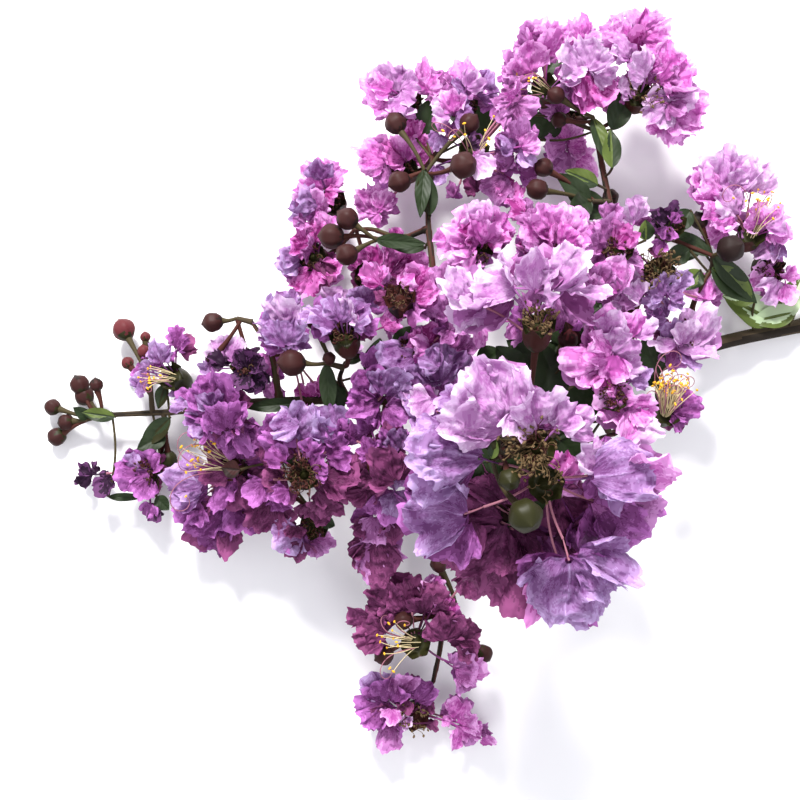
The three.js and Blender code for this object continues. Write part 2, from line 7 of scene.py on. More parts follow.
import bpy
import numpy as np
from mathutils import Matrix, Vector


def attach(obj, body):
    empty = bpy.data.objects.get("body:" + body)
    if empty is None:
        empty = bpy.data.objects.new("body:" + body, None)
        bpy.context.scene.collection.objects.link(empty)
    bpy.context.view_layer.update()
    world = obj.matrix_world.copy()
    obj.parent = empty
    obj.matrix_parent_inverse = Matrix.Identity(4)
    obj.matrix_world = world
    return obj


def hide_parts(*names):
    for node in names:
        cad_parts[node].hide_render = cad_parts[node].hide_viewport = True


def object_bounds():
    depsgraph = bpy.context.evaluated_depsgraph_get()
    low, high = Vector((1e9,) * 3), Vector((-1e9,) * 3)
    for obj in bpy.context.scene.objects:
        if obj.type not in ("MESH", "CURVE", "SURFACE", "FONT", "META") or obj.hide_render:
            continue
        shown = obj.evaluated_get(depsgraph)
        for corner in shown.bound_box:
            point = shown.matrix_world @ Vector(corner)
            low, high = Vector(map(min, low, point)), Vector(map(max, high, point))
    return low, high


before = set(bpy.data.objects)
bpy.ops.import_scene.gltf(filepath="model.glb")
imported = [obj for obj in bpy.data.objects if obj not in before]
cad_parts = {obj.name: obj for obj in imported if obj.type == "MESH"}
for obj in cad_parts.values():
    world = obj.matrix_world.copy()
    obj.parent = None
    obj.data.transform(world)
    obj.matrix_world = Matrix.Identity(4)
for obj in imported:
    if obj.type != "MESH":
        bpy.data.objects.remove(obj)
cad_box = [list(corner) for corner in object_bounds()]

# ---------- the plan ----------

MM = 1000  # in a metre
MIDDLE = (8.1, 4.2)  # plan point, in x and y, that is the frame's origin
LIFT = -0.6  # added to every height
FLOOR_GAP = 0.3  # nothing comes nearer to the floor
LOWEST_PETAL = 3.0  # plan height under which no shaded petal starts or ends

CAMERA_HEIGHT = 300.0  # above the plan's zero, over the plan's own origin
CAMERA_LENS = 48.65
SENSOR = 36.0
PICTURE = 800  # pixels along each side of the photograph

CUP_RADIUS, CUP_HEIGHT = 3.7, 7.0
FORK = 0.7  # of the way from a sprig's hub to its foot, over which its buds fork off
LONGEST_CLAW = 9.0  # a petal further off than this grows from a stalk of its own
NARROW = 0.7  # a petal with no larger half angle is a lobe of the last wide one, if that is near
RIM_STEP, RADIAL_STEP = 0.27, 0.5  # between the points of a petal's mesh
PIECE_POINTS = 70000  # a piece of petals is closed after the bloom that takes it past this

# A limb: its parent, its radii at both ends, and its path.
LIMBS = {
    "main_stem": (None, (1.9, 0.7), [
        (113, 21, 2.2), (85, 15, 9), (62, 7, 17), (36, 2, 24), (8, 0, 25), (-20, 0, 22),
        (-45, -1, 16), (-59, -3, 11), (-78, -4, 7),
    ]),
    "stem_upper_right": ("main_stem", (1.1, 0.6), [
        (60, 10, 22), (58, 27, 27), (54, 48, 24), (52, 60, 22), (50, 69, 23),
    ]),
    "stem_middle": ("main_stem", (1.1, 0.6), [
        (10, 4, 28), (9, 18, 33), (8, 33, 34), (7, 46, 30), (8, 61, 27),
    ]),
    "stem_left": ("main_stem", (0.9, 0.5), [
        (-30, 3, 22), (-33, 12, 24), (-38, 20, 22),
    ]),
    "stem_centre_left": ("main_stem", (0.8, 0.5), [
        (-15, 2, 26), (-15, 5, 30), (-14, 8, 34),
    ]),
    "stem_front": ("main_stem", (1.4, 0.8), [
        (34, 0, 28), (32, -1, 42), (29, -5, 52), (28, -9, 58),
    ]),
    "stem_right_front": ("main_stem", (1.2, 0.6), [
        (52, 4, 24), (55, -4, 33), (51, -8, 41), (47, -5, 47),
    ]),
    "stem_hanging": ("main_stem", (1.1, 0.6), [
        (12, -3, 25), (12, -25, 20), (11, -45, 17), (11, -63, 13), (9, -76, 8),
    ]),
    "stem_lower_left": ("main_stem", (0.9, 0.5), [
        (-24, -2, 23), (-26, -10, 26), (-33, -17, 20), (-36, -21, 14),
    ]),
    "stem_upper_left": ("stem_middle", (0.8, 0.5), [
        (6, 38, 30), (0, 41, 27), (-7, 44, 21), (-12, 45, 14),
    ]),
    "stem_right": ("main_stem", (0.9, 0.5), [
        (76, 15, 13), (76, 24, 19), (80, 33, 20), (85, 38, 17),
    ]),
}

# A sprig: its limb, its hub, its buds, and its leaves, each a tip and a half width.
SPRIGS = {
    "sprig_tip": ("main_stem", (-84, -5, 6), [
        (-95, -2, 4, 2.2), (-94, -10, 3.5, 2.5), (-91, -6, 5, 2.2), (-87, 4, 6, 2.6),
        (-86, 1, 5, 2.6), (-82, 4, 8, 1.8),
    ], [((-88, -2, 9), 1.6)]),
    "sprig_tip_upper": ("main_stem", (-67, 5, 10), [
        (-75, 19, 6, 3), (-69, 13, 9, 1.7), (-69, 17, 7, 1.4), (-74, 10, 6, 1.7),
    ], []),
    "sprig_tip_lower": ("main_stem", (-63, -9, 9), [
        (-70, -15, 7, 2.2), (-63, -16, 6, 2.4),
    ], [((-70, -13, 12), 2.6)]),
    "sprig_left": ("stem_left", (-42, 21, 22), [
        (-48, 20, 22, 2.6), (-48, 11, 20, 2.3),
    ], []),
    "sprig_centre_left": ("stem_centre_left", (-18, 9, 36), [
        (-26, 9, 38, 3.2), (-17, 10, 41, 1.5), (-21, 19, 36, 1.8),
    ], [((-17, -4, 37), 2)]),
    "sprig_upper_left": ("stem_upper_left", (-6, 40, 30), [
        (-13, 45, 31, 2.7), (-17, 41, 29, 3.1), (-13, 36, 33, 2.7),
    ], [((6, 38, 38), 1.8)]),
    "sprig_middle": ("stem_middle", (6, 57, 32), [
        (-1, 69, 30, 2.7), (0, 54, 33, 2.7), (17, 68, 34, 2.4), (15, 56, 42, 3.2),
    ], [((5, 45, 35), 1.9)]),
    "sprig_upper_right": ("stem_upper_right", (49, 72, 25), [
        (39, 76, 30, 2.2), (41, 72, 22, 2),
    ], [((53, 59, 28), 1.9)]),
    "sprig_inner_right": ("stem_upper_right", (48, 50, 28), [
        (34, 52, 33, 2.6), (36, 58, 30, 2.3), (55, 53, 17, 2.2),
    ], [((39, 57, 29), 2.4), ((42, 47, 33), 3)]),
    "sprig_right": ("stem_right", (80, 37, 23), [
        (83, 38, 28, 3.4), (77, 46, 22, 2.2),
    ], [((93, 25, 20), 2.6), ((70, 44, 21), 2)]),
    "sprig_stem_node": ("main_stem", (101, 21, 8), [], [((87, 28, 11), 4), ((109, 34, 9), 3.4)]),
    "sprig_front": ("stem_front", (20, -13, 66), [
        (25, -23, 84, 3.4), (22, -16, 82, 2.2), (19, -9, 78, 1.8),
    ], []),
    "sprig_under_front": ("stem_front", (38, 5, 46), [
        (39, 14, 50, 2.4), (47, 6, 50, 1.4),
    ], [((25, 14, 47), 4), ((46, 16, 41), 4)]),
    "sprig_behind_right": ("main_stem", (68, 4, 13), [], [((77, -4, 12), 3.4), ((57, 17, 7), 4)]),
    "sprig_hanging": ("stem_hanging", (15, -57, 18), [
        (10, -42, 24, 2.2), (1, -56, 25, 2.4), (22, -67, 14, 2.4),
    ], []),
}

# A bloom: what carries it, the middle of its cup's mouth, its face, the colour of its cup if that
# shows, and its stamens (count, kind, lean and length).
BLOOMS = {
    "bloom_front_upper": (
        "stem_front", (28, -10, 79), (0, 0.25, 1), "maroon", (30, "dried", (-0.5, -0.3), 6),
    ),
    "bloom_front_lower": (
        "stem_front", (30.5, -17.5, 74), (0, -0.2, 1), "olive", (3, "dried", (0, 0.3), 3),
    ),
    "bloom_centre_right": (
        "stem_front", (30, 16, 65), (0, 0.7, 0.7), "maroon", (14, "dried", (0, 0), 4),
    ),
    "bloom_hot_right": ("stem_right_front", (47, 1, 59), (0.1, 0.2, 1), None, None),
    "bloom_upper_a": ("stem_middle", (18, 35, 48), (0, 0.3, 1), None, None),
    "bloom_upper_b": ("stem_front", (35, 35, 47), (0.1, 0.45, 1), None, None),
    "bloom_centre": ("stem_middle", (0, 24, 45), (-0.1, 0.5, 0.85), "dark", None),
    "bloom_middle": ("stem_middle", (2, 11, 38), (0.1, 0.2, 1), None, None),
    "bloom_centre_left": (
        "stem_centre_left", (-13, 15, 43), (-0.1, 0.6, 0.75), "maroon", (10, "dark", (0, 0), 3),
    ),
    "bloom_middle_low": ("main_stem", (-4, -15, 44), (0, 0, 1), "dark", None),
    "bloom_left_low": (
        "stem_lower_left", (-23, -18, 40), (-0.1, 0.2, 1), "olive", (24, "dark", (0, 0), 4),
    ),
    "bloom_right_inner": (
        "stem_right_front", (63, 31, 36), (0.1, -0.1, 1), "olive", (16, "dried", (-0.2, 0.6), 5),
    ),
    "bloom_right_lilac": ("stem_right", (73, 17, 25), (0.2, 0.2, 1), None, None),
    "bloom_right_far": (
        "stem_right", (91, 43, 20), (0.1, 0.4, 0.9), "maroon", (18, "fresh", (0.25, 0.9), 9),
    ),
    "bloom_right_edge": ("sprig_stem_node", (98, 35, 13), (0.2, -0.2, 1), None, None),
    "bloom_right_upper": ("stem_upper_right", (52, 36, 42), (0, 0.3, 1), None, None),
    "bloom_right_withered": ("sprig_right", (68, 44, 28), (0, 0.3, 1), None, None),
    "bloom_right_low": (
        "stem_right_front", (66, -3, 31), (0.2, 0.3, 0.9), "olive", (60, "fresh", (-0.12, 1.1), 9),
    ),
    "bloom_crown_right": (
        "stem_upper_right", (61, 77, 26), (0.1, 0.2, 1), "maroon", (8, "dried", (0.4, 0), 5),
    ),
    "bloom_crown_left": (
        "stem_upper_right", (37, 79, 25), (-0.1, 0.3, 1), "maroon", (10, "fresh", (-1, 0.1), 8),
    ),
    "bloom_crown_back": ("sprig_upper_right", (46, 74, 9.6), (0, -0.4, 0.8), None, None),
    "bloom_top_left": ("stem_middle", (2, 77, 22), (-0.2, 0.2, 1), None, None),
    "bloom_top": ("stem_middle", (16, 75, 23), (0.1, 0.2, 1), None, None),
    "bloom_top_front": (
        "stem_middle", (18, 61, 34), (0.2, 0.1, 1), "maroon", (9, "fresh", (-0.2, 0.4), 8),
    ),
    "bloom_top_low": ("stem_middle", (1, 60, 19), (-0.3, 0.1, 1), None, None),
    "bloom_left_top": ("stem_upper_left", (-18, 53, 12), (-0.2, 0.2, 1), None, None),
    "bloom_left_upper": ("stem_upper_left", (-23, 38, 12), (-0.3, 0, 1), None, None),
    "bloom_left_behind": ("stem_upper_left", (-8, 32, 20), (0, -0.1, 1), None, None),
    "bloom_left_pale": ("stem_left", (-29, 17, 31), (-0.1, 0.4, 0.9), None, None),
    "bloom_left_dark": ("sprig_left", (-39, 9, 26), (-0.1, 0.2, 1), None, None),
    "bloom_left_violet": ("main_stem", (-44, -3, 29), (-0.2, 0.2, 1), None, None),
    "bloom_left_spent": (
        "sprig_tip_upper", (-60, 6, 15), (-0.5, 0.3, 0.8), "olive", (14, "fresh", (-0.9, 0.1), 7),
    ),
    "bloom_left_fan": (
        "stem_lower_left", (-43, -17, 22), (-0.4, 0, 0.9), "dark", (24, "fresh", (-1, 0.5), 11),
    ),
    "bloom_left_far": ("sprig_tip_lower", (-68, -19, 10), (-0.3, -0.2, 1), None, None),
    "bloom_low_left": ("stem_lower_left", (-43, -28, 14), (-0.1, -0.3, 1), None, None),
    "bloom_low_mauve": ("stem_lower_left", (-22, -32, 21), (-0.1, -0.3, 1), "maroon", None),
    "bloom_low_middle": ("stem_hanging", (-2, -31, 29), (0, -0.2, 1), None, None),
    "bloom_low_dark": (
        "stem_front", (33, -35, 51), (-0.2, -0.3, 1), "olive", (14, "dried", (-0.3, -0.2), 6),
    ),
    "bloom_hanging_upper": (
        "stem_hanging", (4, -62, 24), (0, 0, 1), "maroon", (14, "fresh", (-1, 0.2), 9),
    ),
    "bloom_hanging_lower": (
        "stem_hanging", (4, -85, 9), (0, -0.1, 1), "dark", (8, "dried", (0, 0), 4),
    ),
}

# Petals, read off the photograph. A place is the picture position in pixels and the height in
# millimetres. Each petal has the place where its claw ends and the place of the middle of its rim,
# then half the angle that its limb fans over, its roll and its tone.
PLACED = {
    "bloom_crown_right": [
        ((633, 50, 24), (613, 14, 28), 1.1, 0.2, "p"), ((637, 40, 26), (648, 8, 30), 1.2, -0.2, "p"),
        ((640, 38, 27), (669, 22, 30), 1.2, 0.3, "b"), ((632, 57, 24), (640, 28, 31), 0.6, 0, "h"),
        ((645, 48, 25), (660, 38, 27), 1.3, 0.2, "b"), ((625, 42, 28), (606, 24, 31), 0.9, -0.3, "b"),
        ((645, 80, 31), (633, 55, 36), 1.0, 0.1, "p"), ((628, 60, 30), (619, 36, 34), 0.9, 0.3, "p"),
        ((648, 70, 30), (660, 55, 33), 0.9, -0.3, "b"), ((657, 82, 28), (686, 50, 33), 1.1, 0.2, "b"),
        ((662, 84, 28), (699, 74, 31), 0.9, -0.3, "b"), ((665, 86, 27), (680, 75, 33), 0.9, 0.3, "k"),
        ((665, 95, 27), (698, 94, 30), 1.0, 0.2, "p"), ((670, 100, 26), (650, 112, 30), 1.0, -0.3, "p"),
        ((675, 106, 25), (707, 118, 27), 0.8, 0.2, "b"), ((675, 114, 24), (694, 138, 25), 0.9, -0.2, "b"),
        ((673, 112, 24), (667, 147, 24), 0.8, 0.3, "b"), ((668, 104, 28), (684, 110, 31), 1.0, 0.4, "k"),
        ((634, 97, 26), (621, 76, 28), 0.9, 0.2, "p"),
    ],
    "bloom_crown_left": [
        ((585, 78, 29), (603, 109, 29), 0.9, 0.2, "h"), ((580, 72, 30), (590, 98, 31), 1.1, -0.2, "h"),
        ((586, 74, 30), (563, 46, 34), 0.9, 0.2, "p"), ((588, 70, 31), (600, 38, 35), 1.0, -0.3, "p"),
        ((592, 74, 30), (618, 66, 33), 1.0, 0.3, "p"), ((578, 48, 27), (576, 15, 30), 0.9, 0.2, "b"),
        ((582, 46, 28), (600, 28, 30), 0.9, -0.2, "p"), ((545, 55, 27), (547, 17, 30), 1.0, 0.2, "b"),
        ((541, 52, 27), (526, 24, 29), 0.8, -0.3, "k"), ((548, 55, 28), (562, 30, 31), 0.8, 0.4, "b"),
        ((535, 72, 26), (501, 56, 27), 1.1, 0.2, "k"), ((532, 73, 27), (518, 44, 31), 0.9, -0.3, "b"),
        ((555, 86, 28), (567, 98, 28), 1.3, 0, "p"), ((575, 66, 31), (570, 84, 32), 1.0, 0.2, "p"),
        ((612, 78, 28), (618, 92, 28), 0.8, 0.1, "b"), ((600, 82, 29), (612, 60, 31), 0.8, 0.3, "p"),
        ((620, 110, 22), (628, 88, 24), 1.0, 0.2, "b"), ((560, 115, 20), (545, 96, 22), 0.9, 0.2, "k"),
        ((528, 80, 26), (497, 76, 27), 0.8, 0.2, "k"),
    ],
    "bloom_crown_back": [
        ((567, 141, 10), (566, 119, 13), 1.3, 0.1, "b"), ((566, 143, 10), (541, 152, 12), 0.55, 0.2, "k"),
        ((568, 147, 10), (590, 147, 12), 0.65, -0.2, "b"),
        ((567, 150, 10), (564, 173, 10), 0.65, 0.2, "k"), ((572, 157, 9), (598, 167, 9), 0.8, 0.1, "b"),
        ((560, 160, 9), (545, 158, 9), 0.8, 0.2, "k"),
    ],
    "bloom_top_left": [
        ((400, 101, 22), (361, 91, 26), 1.0, 0.2, "b"), ((398, 93, 24), (384, 63, 28), 1.1, -0.2, "p"),
        ((400, 90, 26), (420, 92, 30), 1.1, 0.3, "p"), ((400, 99, 25), (384, 114, 26), 0.9, 0.2, "b"),
        ((406, 102, 27), (392, 112, 30), 0.9, -0.3, "p"), ((392, 90, 26), (372, 76, 29), 1.0, 0.3, "b"),
    ],
    "bloom_top": [
        ((430, 92, 22), (414, 63, 26), 0.8, 0.2, "b"), ((435, 90, 22), (452, 74, 26), 0.9, -0.2, "k"),
        ((428, 90, 25), (440, 80, 29), 1.2, 0.2, "b"), ((470, 98, 24), (468, 58, 28), 0.9, 0.2, "b"),
        ((476, 95, 24), (496, 76, 27), 1.1, -0.3, "l"), ((468, 93, 26), (450, 92, 29), 1.0, 0.2, "l"),
        ((452, 113, 33), (446, 90, 36), 0.9, -0.2, "b"), ((450, 116, 33), (431, 108, 36), 1.0, 0.2, "p"),
        ((456, 116, 33), (473, 119, 35), 1.0, 0.3, "l"), ((466, 88, 28), (480, 72, 31), 0.9, 0.2, "p"),
    ],
    "bloom_top_front": [
        ((522, 101, 30), (494, 98, 31), 1.0, 0.2, "k"), ((516, 106, 30), (500, 128, 30), 1.0, -0.2, "k"),
        ((515, 96, 32), (511, 83, 35), 1.1, 0.2, "b"), ((516, 104, 31), (534, 118, 31), 1.0, 0.2, "k"),
        ((520, 150, 31), (511, 121, 35), 1.1, -0.3, "k"), ((515, 149, 33), (496, 134, 35), 0.9, 0.2, "l"),
        ((520, 147, 33), (540, 137, 35), 0.9, 0.3, "b"), ((518, 150, 32), (538, 155, 32), 1.0, 0.2, "l"),
        ((514, 154, 31), (492, 160, 31), 0.9, -0.3, "k"), ((441, 134, 30), (431, 149, 30), 1.0, 0.2, "l"),
        ((470, 147, 34), (484, 136, 35), 1.2, 0, "w"), ((436, 165, 28), (438, 187, 28), 0.8, 0.2, "l"),
        ((473, 157, 40), (491, 174, 40), 0.8, 0.3, "p"), ((508, 177, 28), (480, 192, 28), 1.0, 0.2, "k"),
        ((520, 173, 28), (537, 160, 30), 1.0, -0.2, "k"), ((515, 180, 27), (500, 200, 27), 0.9, 0.1, "h"),
        ((478, 190, 30), (464, 180, 32), 0.9, 0.2, "m"), ((455, 196, 26), (450, 182, 28), 0.9, 0.2, "k"),
    ],
    "bloom_top_low": [
        ((386, 161, 20), (357, 148, 23), 1.0, 0.2, "b"), ((405, 162, 20), (392, 136, 24), 1.0, -0.2, "b"),
        ((410, 157, 20), (428, 137, 24), 0.9, 0.3, "h"), ((415, 137, 22), (411, 117, 24), 0.7, 0.1, "h"),
        ((388, 165, 19), (366, 172, 20), 1.0, 0.2, "k"), ((404, 160, 21), (378, 150, 25), 0.9, 0.3, "h"),
        ((379, 214, 15), (364, 184, 17), 0.9, 0.2, "b"), ((376, 202, 15), (353, 195, 16), 0.6, -0.2, "k"),
        ((380, 210, 15), (388, 190, 17), 0.7, 0.3, "b"), ((378, 212, 15), (372, 224, 14), 1.1, 0.2, "b"),
    ],
    "bloom_left_top": [
        ((325, 190, 14), (303, 163, 18), 1.1, 0.2, "b"), ((328, 188, 14), (338, 163, 18), 0.9, -0.2, "b"),
        ((325, 192, 15), (339, 197, 17), 0.7, 0.2, "h"), ((312, 215, 13), (310, 186, 17), 0.9, 0.2, "b"),
        ((310, 213, 13), (289, 204, 16), 1.0, -0.2, "l"), ((318, 205, 15), (300, 190, 19), 1.0, 0.3, "l"),
        ((314, 214, 14), (325, 205, 17), 1.0, 0.2, "b"), ((322, 180, 16), (318, 160, 20), 0.9, 0.2, "l"),
    ],
    "bloom_left_upper": [
        ((312, 246, 13), (289, 234, 16), 1.0, 0.2, "h"), ((315, 241, 14), (318, 221, 17), 1.0, -0.2, "h"),
        ((322, 236, 14), (326, 213, 17), 0.8, 0.2, "b"), ((325, 231, 15), (341, 227, 17), 0.8, 0.3, "b"),
        ((300, 258, 13), (280, 251, 14), 0.8, 0.2, "l"), ((300, 262, 13), (276, 267, 13), 0.6, -0.2, "l"),
        ((312, 268, 13), (299, 298, 13), 0.9, 0.2, "h"), ((320, 270, 14), (343, 267, 15), 0.8, -0.2, "h"),
        ((314, 262, 13), (322, 290, 14), 0.8, 0.3, "m"), ((312, 250, 15), (300, 245, 19), 1.1, 0.2, "k"),
        ((305, 225, 15), (294, 218, 17), 1.0, 0.2, "k"),
    ],
    "bloom_left_behind": [
        ((390, 276, 18), (424, 254, 19), 0.9, 0.2, "h"), ((372, 272, 18), (362, 243, 19), 0.9, -0.2, "h"),
        ((392, 272, 18), (398, 250, 20), 0.8, 0.2, "h"), ((366, 308, 27), (366, 281, 31), 1.0, 0.2, "l"),
        ((336, 308, 27), (334, 283, 31), 0.9, -0.2, "p"), ((390, 280, 19), (425, 280, 20), 0.8, 0.2, "h"),
        ((375, 278, 18), (350, 285, 20), 0.9, 0.3, "m"), ((380, 275, 18), (385, 300, 20), 0.9, 0.2, "m"),
        ((395, 245, 17), (388, 228, 18), 0.9, 0.2, "h"),
    ],
    "bloom_front_upper": [
        ((507, 428, 80), (446, 384, 86), 0.8, -0.3, "p"), ((511, 424, 81), (470, 360, 85), 0.6, 0.4, "p"),
        ((518, 420, 81), (506, 366, 86), 0.5, -0.3, "p"), ((535, 426, 80), (536, 386, 86), 0.9, 0.3, "p"),
        ((556, 428, 80), (572, 402, 84), 0.85, -0.2, "p"), ((566, 430, 78), (603, 424, 79), 0.6, 0.3, "p"),
        ((515, 410, 82), (523, 440, 83), 0.7, 0, "p"), ((484, 408, 80), (466, 433, 78), 0.8, 0.3, "l"),
        ((470, 405, 79), (436, 402, 80), 0.7, 0.2, "l"),
    ],
    "bloom_front_lower": [
        ((484, 458, 77), (404, 446, 84), 0.5, 0.4, "l"), ((476, 468, 76), (399, 472, 80), 0.45, -0.2, "l"),
        ((468, 514, 74), (399, 508, 75), 0.75, -0.2, "l"), ((470, 520, 71), (428, 556, 68), 0.7, 0.2, "v"),
        ((588, 478, 77), (662, 468, 81), 0.5, -0.4, "l"), ((625, 470, 76), (680, 464, 80), 0.6, 0.4, "b"),
        ((602, 470, 76), (584, 440, 79), 0.7, 0.3, "p"), ((606, 474, 75), (640, 500, 76), 0.75, -0.3, "l"),
        ((590, 500, 70), (670, 522, 65), 0.5, 0.3, "k"), ((616, 508, 66), (662, 532, 62), 0.6, -0.2, "v"),
        ((600, 506, 68), (632, 538, 62), 0.6, -0.2, "v"), ((556, 480, 62), (575, 455, 65), 1.0, 0.2, "h"),
        ((560, 495, 60), (598, 520, 60), 0.9, 0.2, "m"), ((572, 520, 60), (604, 548, 57), 0.7, -0.2, "v"),
        ((569, 556, 74), (568, 626, 68), 0.75, 0.1, "l"), ((573, 557, 73), (624, 572, 67), 0.6, -0.2, "l"),
        ((558, 562, 66), (532, 612, 60), 0.45, 0.2, "h"), ((572, 598, 68), (580, 634, 66), 0.5, 0.4, "l"),
        ((590, 590, 67), (604, 621, 66), 0.45, -0.4, "l"),
    ],
    "bloom_centre_right": [
        ((518, 296, 64), (438, 306, 61), 0.4, 0.3, "p"), ((472, 300, 63), (446, 271, 67), 0.45, -0.3, "p"),
        ((492, 304, 61), (450, 332, 57), 0.45, 0.2, "p"), ((512, 288, 66), (499, 247, 72), 0.38, 0.3, "p"),
        ((518, 292, 65), (470, 282, 68), 0.5, -0.4, "p"), ((535, 292, 67), (530, 245, 73), 0.5, -0.3, "p"),
        ((553, 291, 66), (581, 243, 72), 0.55, 0.3, "p"),
        ((560, 292, 65), (612, 284, 67), 0.42, -0.3, "p"), ((541, 299, 64), (547, 268, 70), 1.0, 0.2, "p"),
        ((528, 322, 52), (520, 296, 56), 1.0, 0.2, "k"), ((560, 330, 50), (562, 296, 54), 0.9, 0.2, "k"),
        ((520, 322, 46), (507, 345, 46), 0.6, 0.2, "k"), ((483, 320, 46), (477, 347, 46), 0.35, 0.2, "b"),
    ],
    "bloom_low_dark": [
        ((505, 520, 62), (448, 556, 57), 0.8, 0.2, "m"), ((512, 525, 61), (490, 576, 54), 0.8, -0.3, "m"),
        ((525, 530, 60), (514, 600, 53), 0.6, 0.3, "m"), ((500, 505, 60), (440, 520, 58), 1.0, 0, "m"),
        ((560, 530, 58), (592, 560, 55), 0.8, 0.2, "m"), ((500, 500, 60), (476, 480, 60), 0.9, 0.1, "m"),
        ((530, 532, 58), (541, 588, 54), 0.6, 0, "k"), ((490, 545, 58), (466, 588, 52), 0.6, 0.2, "m"),
        ((520, 505, 58), (520, 470, 60), 1.1, 0.2, "m"),
    ],
    "bloom_upper_a": [
        ((480, 242, 49), (453, 214, 53), 0.9, 0.2, "b"), ((482, 240, 50), (474, 203, 54), 1.0, -0.2, "p"),
        ((486, 240, 50), (503, 208, 54), 1.0, 0.2, "b"), ((487, 242, 49), (511, 231, 52), 0.9, -0.3, "h"),
        ((477, 243, 49), (437, 240, 51), 0.9, 0.2, "b"), ((474, 250, 48), (446, 262, 50), 0.9, -0.2, "b"),
        ((483, 244, 51), (486, 224, 56), 1.2, 0.2, "b"), ((472, 241, 50), (461, 227, 54), 0.9, 0.3, "h"),
        ((480, 251, 48), (474, 270, 48), 0.9, 0.2, "k"),
    ],
    "bloom_upper_b": [
        ((549, 247, 48), (526, 214, 52), 0.9, 0.2, "k"), ((552, 245, 49), (547, 203, 53), 0.9, -0.2, "b"),
        ((556, 244, 49), (571, 204, 53), 0.9, 0.2, "b"), ((561, 245, 48), (590, 225, 50), 0.9, -0.2, "b"),
        ((552, 246, 51), (545, 227, 55), 1.2, 0.3, "h"), ((560, 247, 50), (571, 229, 55), 1.0, 0.2, "b"),
        ((541, 247, 48), (521, 239, 50), 0.8, -0.2, "k"), ((535, 252, 47), (515, 252, 48), 0.9, 0.2, "h"),
        ((525, 215, 40), (510, 200, 42), 1.2, 0.2, "h"), ((545, 225, 40), (538, 205, 42), 1.0, 0.2, "k"),
    ],
    "bloom_centre": [
        ((412, 297, 44), (434, 272, 47), 0.9, 0.2, "h"), ((411, 306, 44), (432, 320, 46), 1.0, -0.2, "k"),
        ((405, 290, 45), (411, 275, 47), 1.1, 0, "b"), ((398, 310, 42), (395, 324, 42), 1.1, 0.2, "h"),
        ((388, 300, 43), (372, 296, 45), 0.8, 0.2, "m"), ((412, 300, 45), (440, 300, 46), 0.8, 0.3, "k"),
        ((440, 290, 40), (445, 265, 42), 1.1, 0.2, "k"), ((380, 285, 36), (362, 268, 37), 0.9, 0.2, "h"),
        ((450, 318, 44), (439, 296, 45), 0.9, 0.2, "k"),
    ],
    "bloom_middle": [
        ((425, 348, 40), (425, 321, 43), 1.1, 0.2, "h"), ((431, 350, 41), (410, 357, 44), 0.9, -0.2, "b"),
        ((416, 357, 40), (377, 352, 43), 0.7, 0.2, "l"), ((420, 396, 41), (414, 362, 44), 1.0, 0.2, "l"),
        ((440, 385, 42), (436, 358, 45), 1.0, -0.2, "l"), ((384, 396, 42), (396, 364, 45), 0.9, 0.2, "l"),
        ((378, 396, 41), (364, 369, 44), 0.9, -0.3, "v"), ((380, 401, 40), (342, 394, 43), 1.0, 0.2, "v"),
        ((380, 406, 40), (350, 418, 42), 0.9, -0.2, "v"), ((386, 406, 40), (408, 421, 42), 1.0, 0.2, "v"),
        ((402, 387, 42), (434, 401, 45), 0.6, -0.4, "p"), ((424, 401, 42), (427, 413, 46), 1.0, 0.2, "b"),
        ((450, 330, 44), (445, 345, 44), 0.9, 0.2, "k"), ((455, 350, 40), (470, 330, 42), 1.1, 0.2, "k"),
        ((450, 370, 40), (466, 352, 42), 1.0, 0.2, "l"), ((450, 345, 38), (446, 315, 40), 0.9, 0.2, "k"),
        ((445, 395, 40), (418, 388, 42), 0.8, 0.2, "v"), ((372, 372, 38), (385, 350, 40), 0.9, 0.2, "v"),
        ((440, 368, 46), (424, 351, 48), 0.9, 0.2, "l"), ((394, 448, 41), (380, 424, 43), 0.9, 0.2, "v"),
        ((447, 374, 40), (430, 346, 42), 0.9, 0.2, "l"), ((440, 412, 48), (402, 420, 50), 0.8, 0.2, "l"),
        ((432, 400, 48), (408, 408, 51), 0.7, 0.2, "p"),
    ],
    "bloom_centre_left": [
        ((336, 326, 44), (310, 305, 46), 0.9, 0.2, "l"), ((341, 323, 45), (340, 296, 48), 1.0, -0.2, "l"),
        ((351, 323, 45), (374, 306, 47), 1.0, 0.2, "l"), ((356, 326, 44), (380, 329, 44), 0.8, -0.2, "v"),
        ((331, 326, 44), (321, 333, 43), 1.0, 0.2, "v"), ((322, 316, 42), (299, 308, 42), 0.6, 0.2, "l"),
        ((349, 318, 46), (356, 299, 50), 0.9, 0.3, "p"), ((383, 328, 30), (398, 316, 30), 0.8, 0.2, "h"),
        ((352, 352, 28), (362, 344, 28), 0.8, 0.2, "p"),
    ],
    "bloom_left_pale": [
        ((284, 331, 31), (256, 311, 36), 1.1, 0.2, "l"), ((286, 329, 32), (275, 299, 36), 1.0, -0.2, "p"),
        ((289, 331, 33), (302, 317, 36), 1.0, 0.2, "l"), ((285, 334, 32), (260, 336, 35), 1.0, -0.3, "p"),
        ((288, 336, 32), (279, 352, 33), 0.9, 0.2, "l"), ((293, 334, 32), (305, 350, 33), 1.0, -0.2, "l"),
        ((290, 310, 28), (281, 288, 30), 0.9, 0.2, "l"), ((308, 397, 24), (308, 381, 26), 1.3, 0.2, "h"),
        ((322, 396, 24), (320, 377, 26), 0.8, -0.2, "h"), ((305, 417, 25), (310, 404, 27), 1.2, 0.2, "h"),
        ((268, 378, 20), (262, 347, 22), 0.5, 0.2, "k"), ((275, 398, 20), (270, 382, 21), 0.9, 0.2, "k"),
        ((286, 347, 37), (284, 318, 40), 1.2, 0.2, "l"),
    ],
    "bloom_left_dark": [
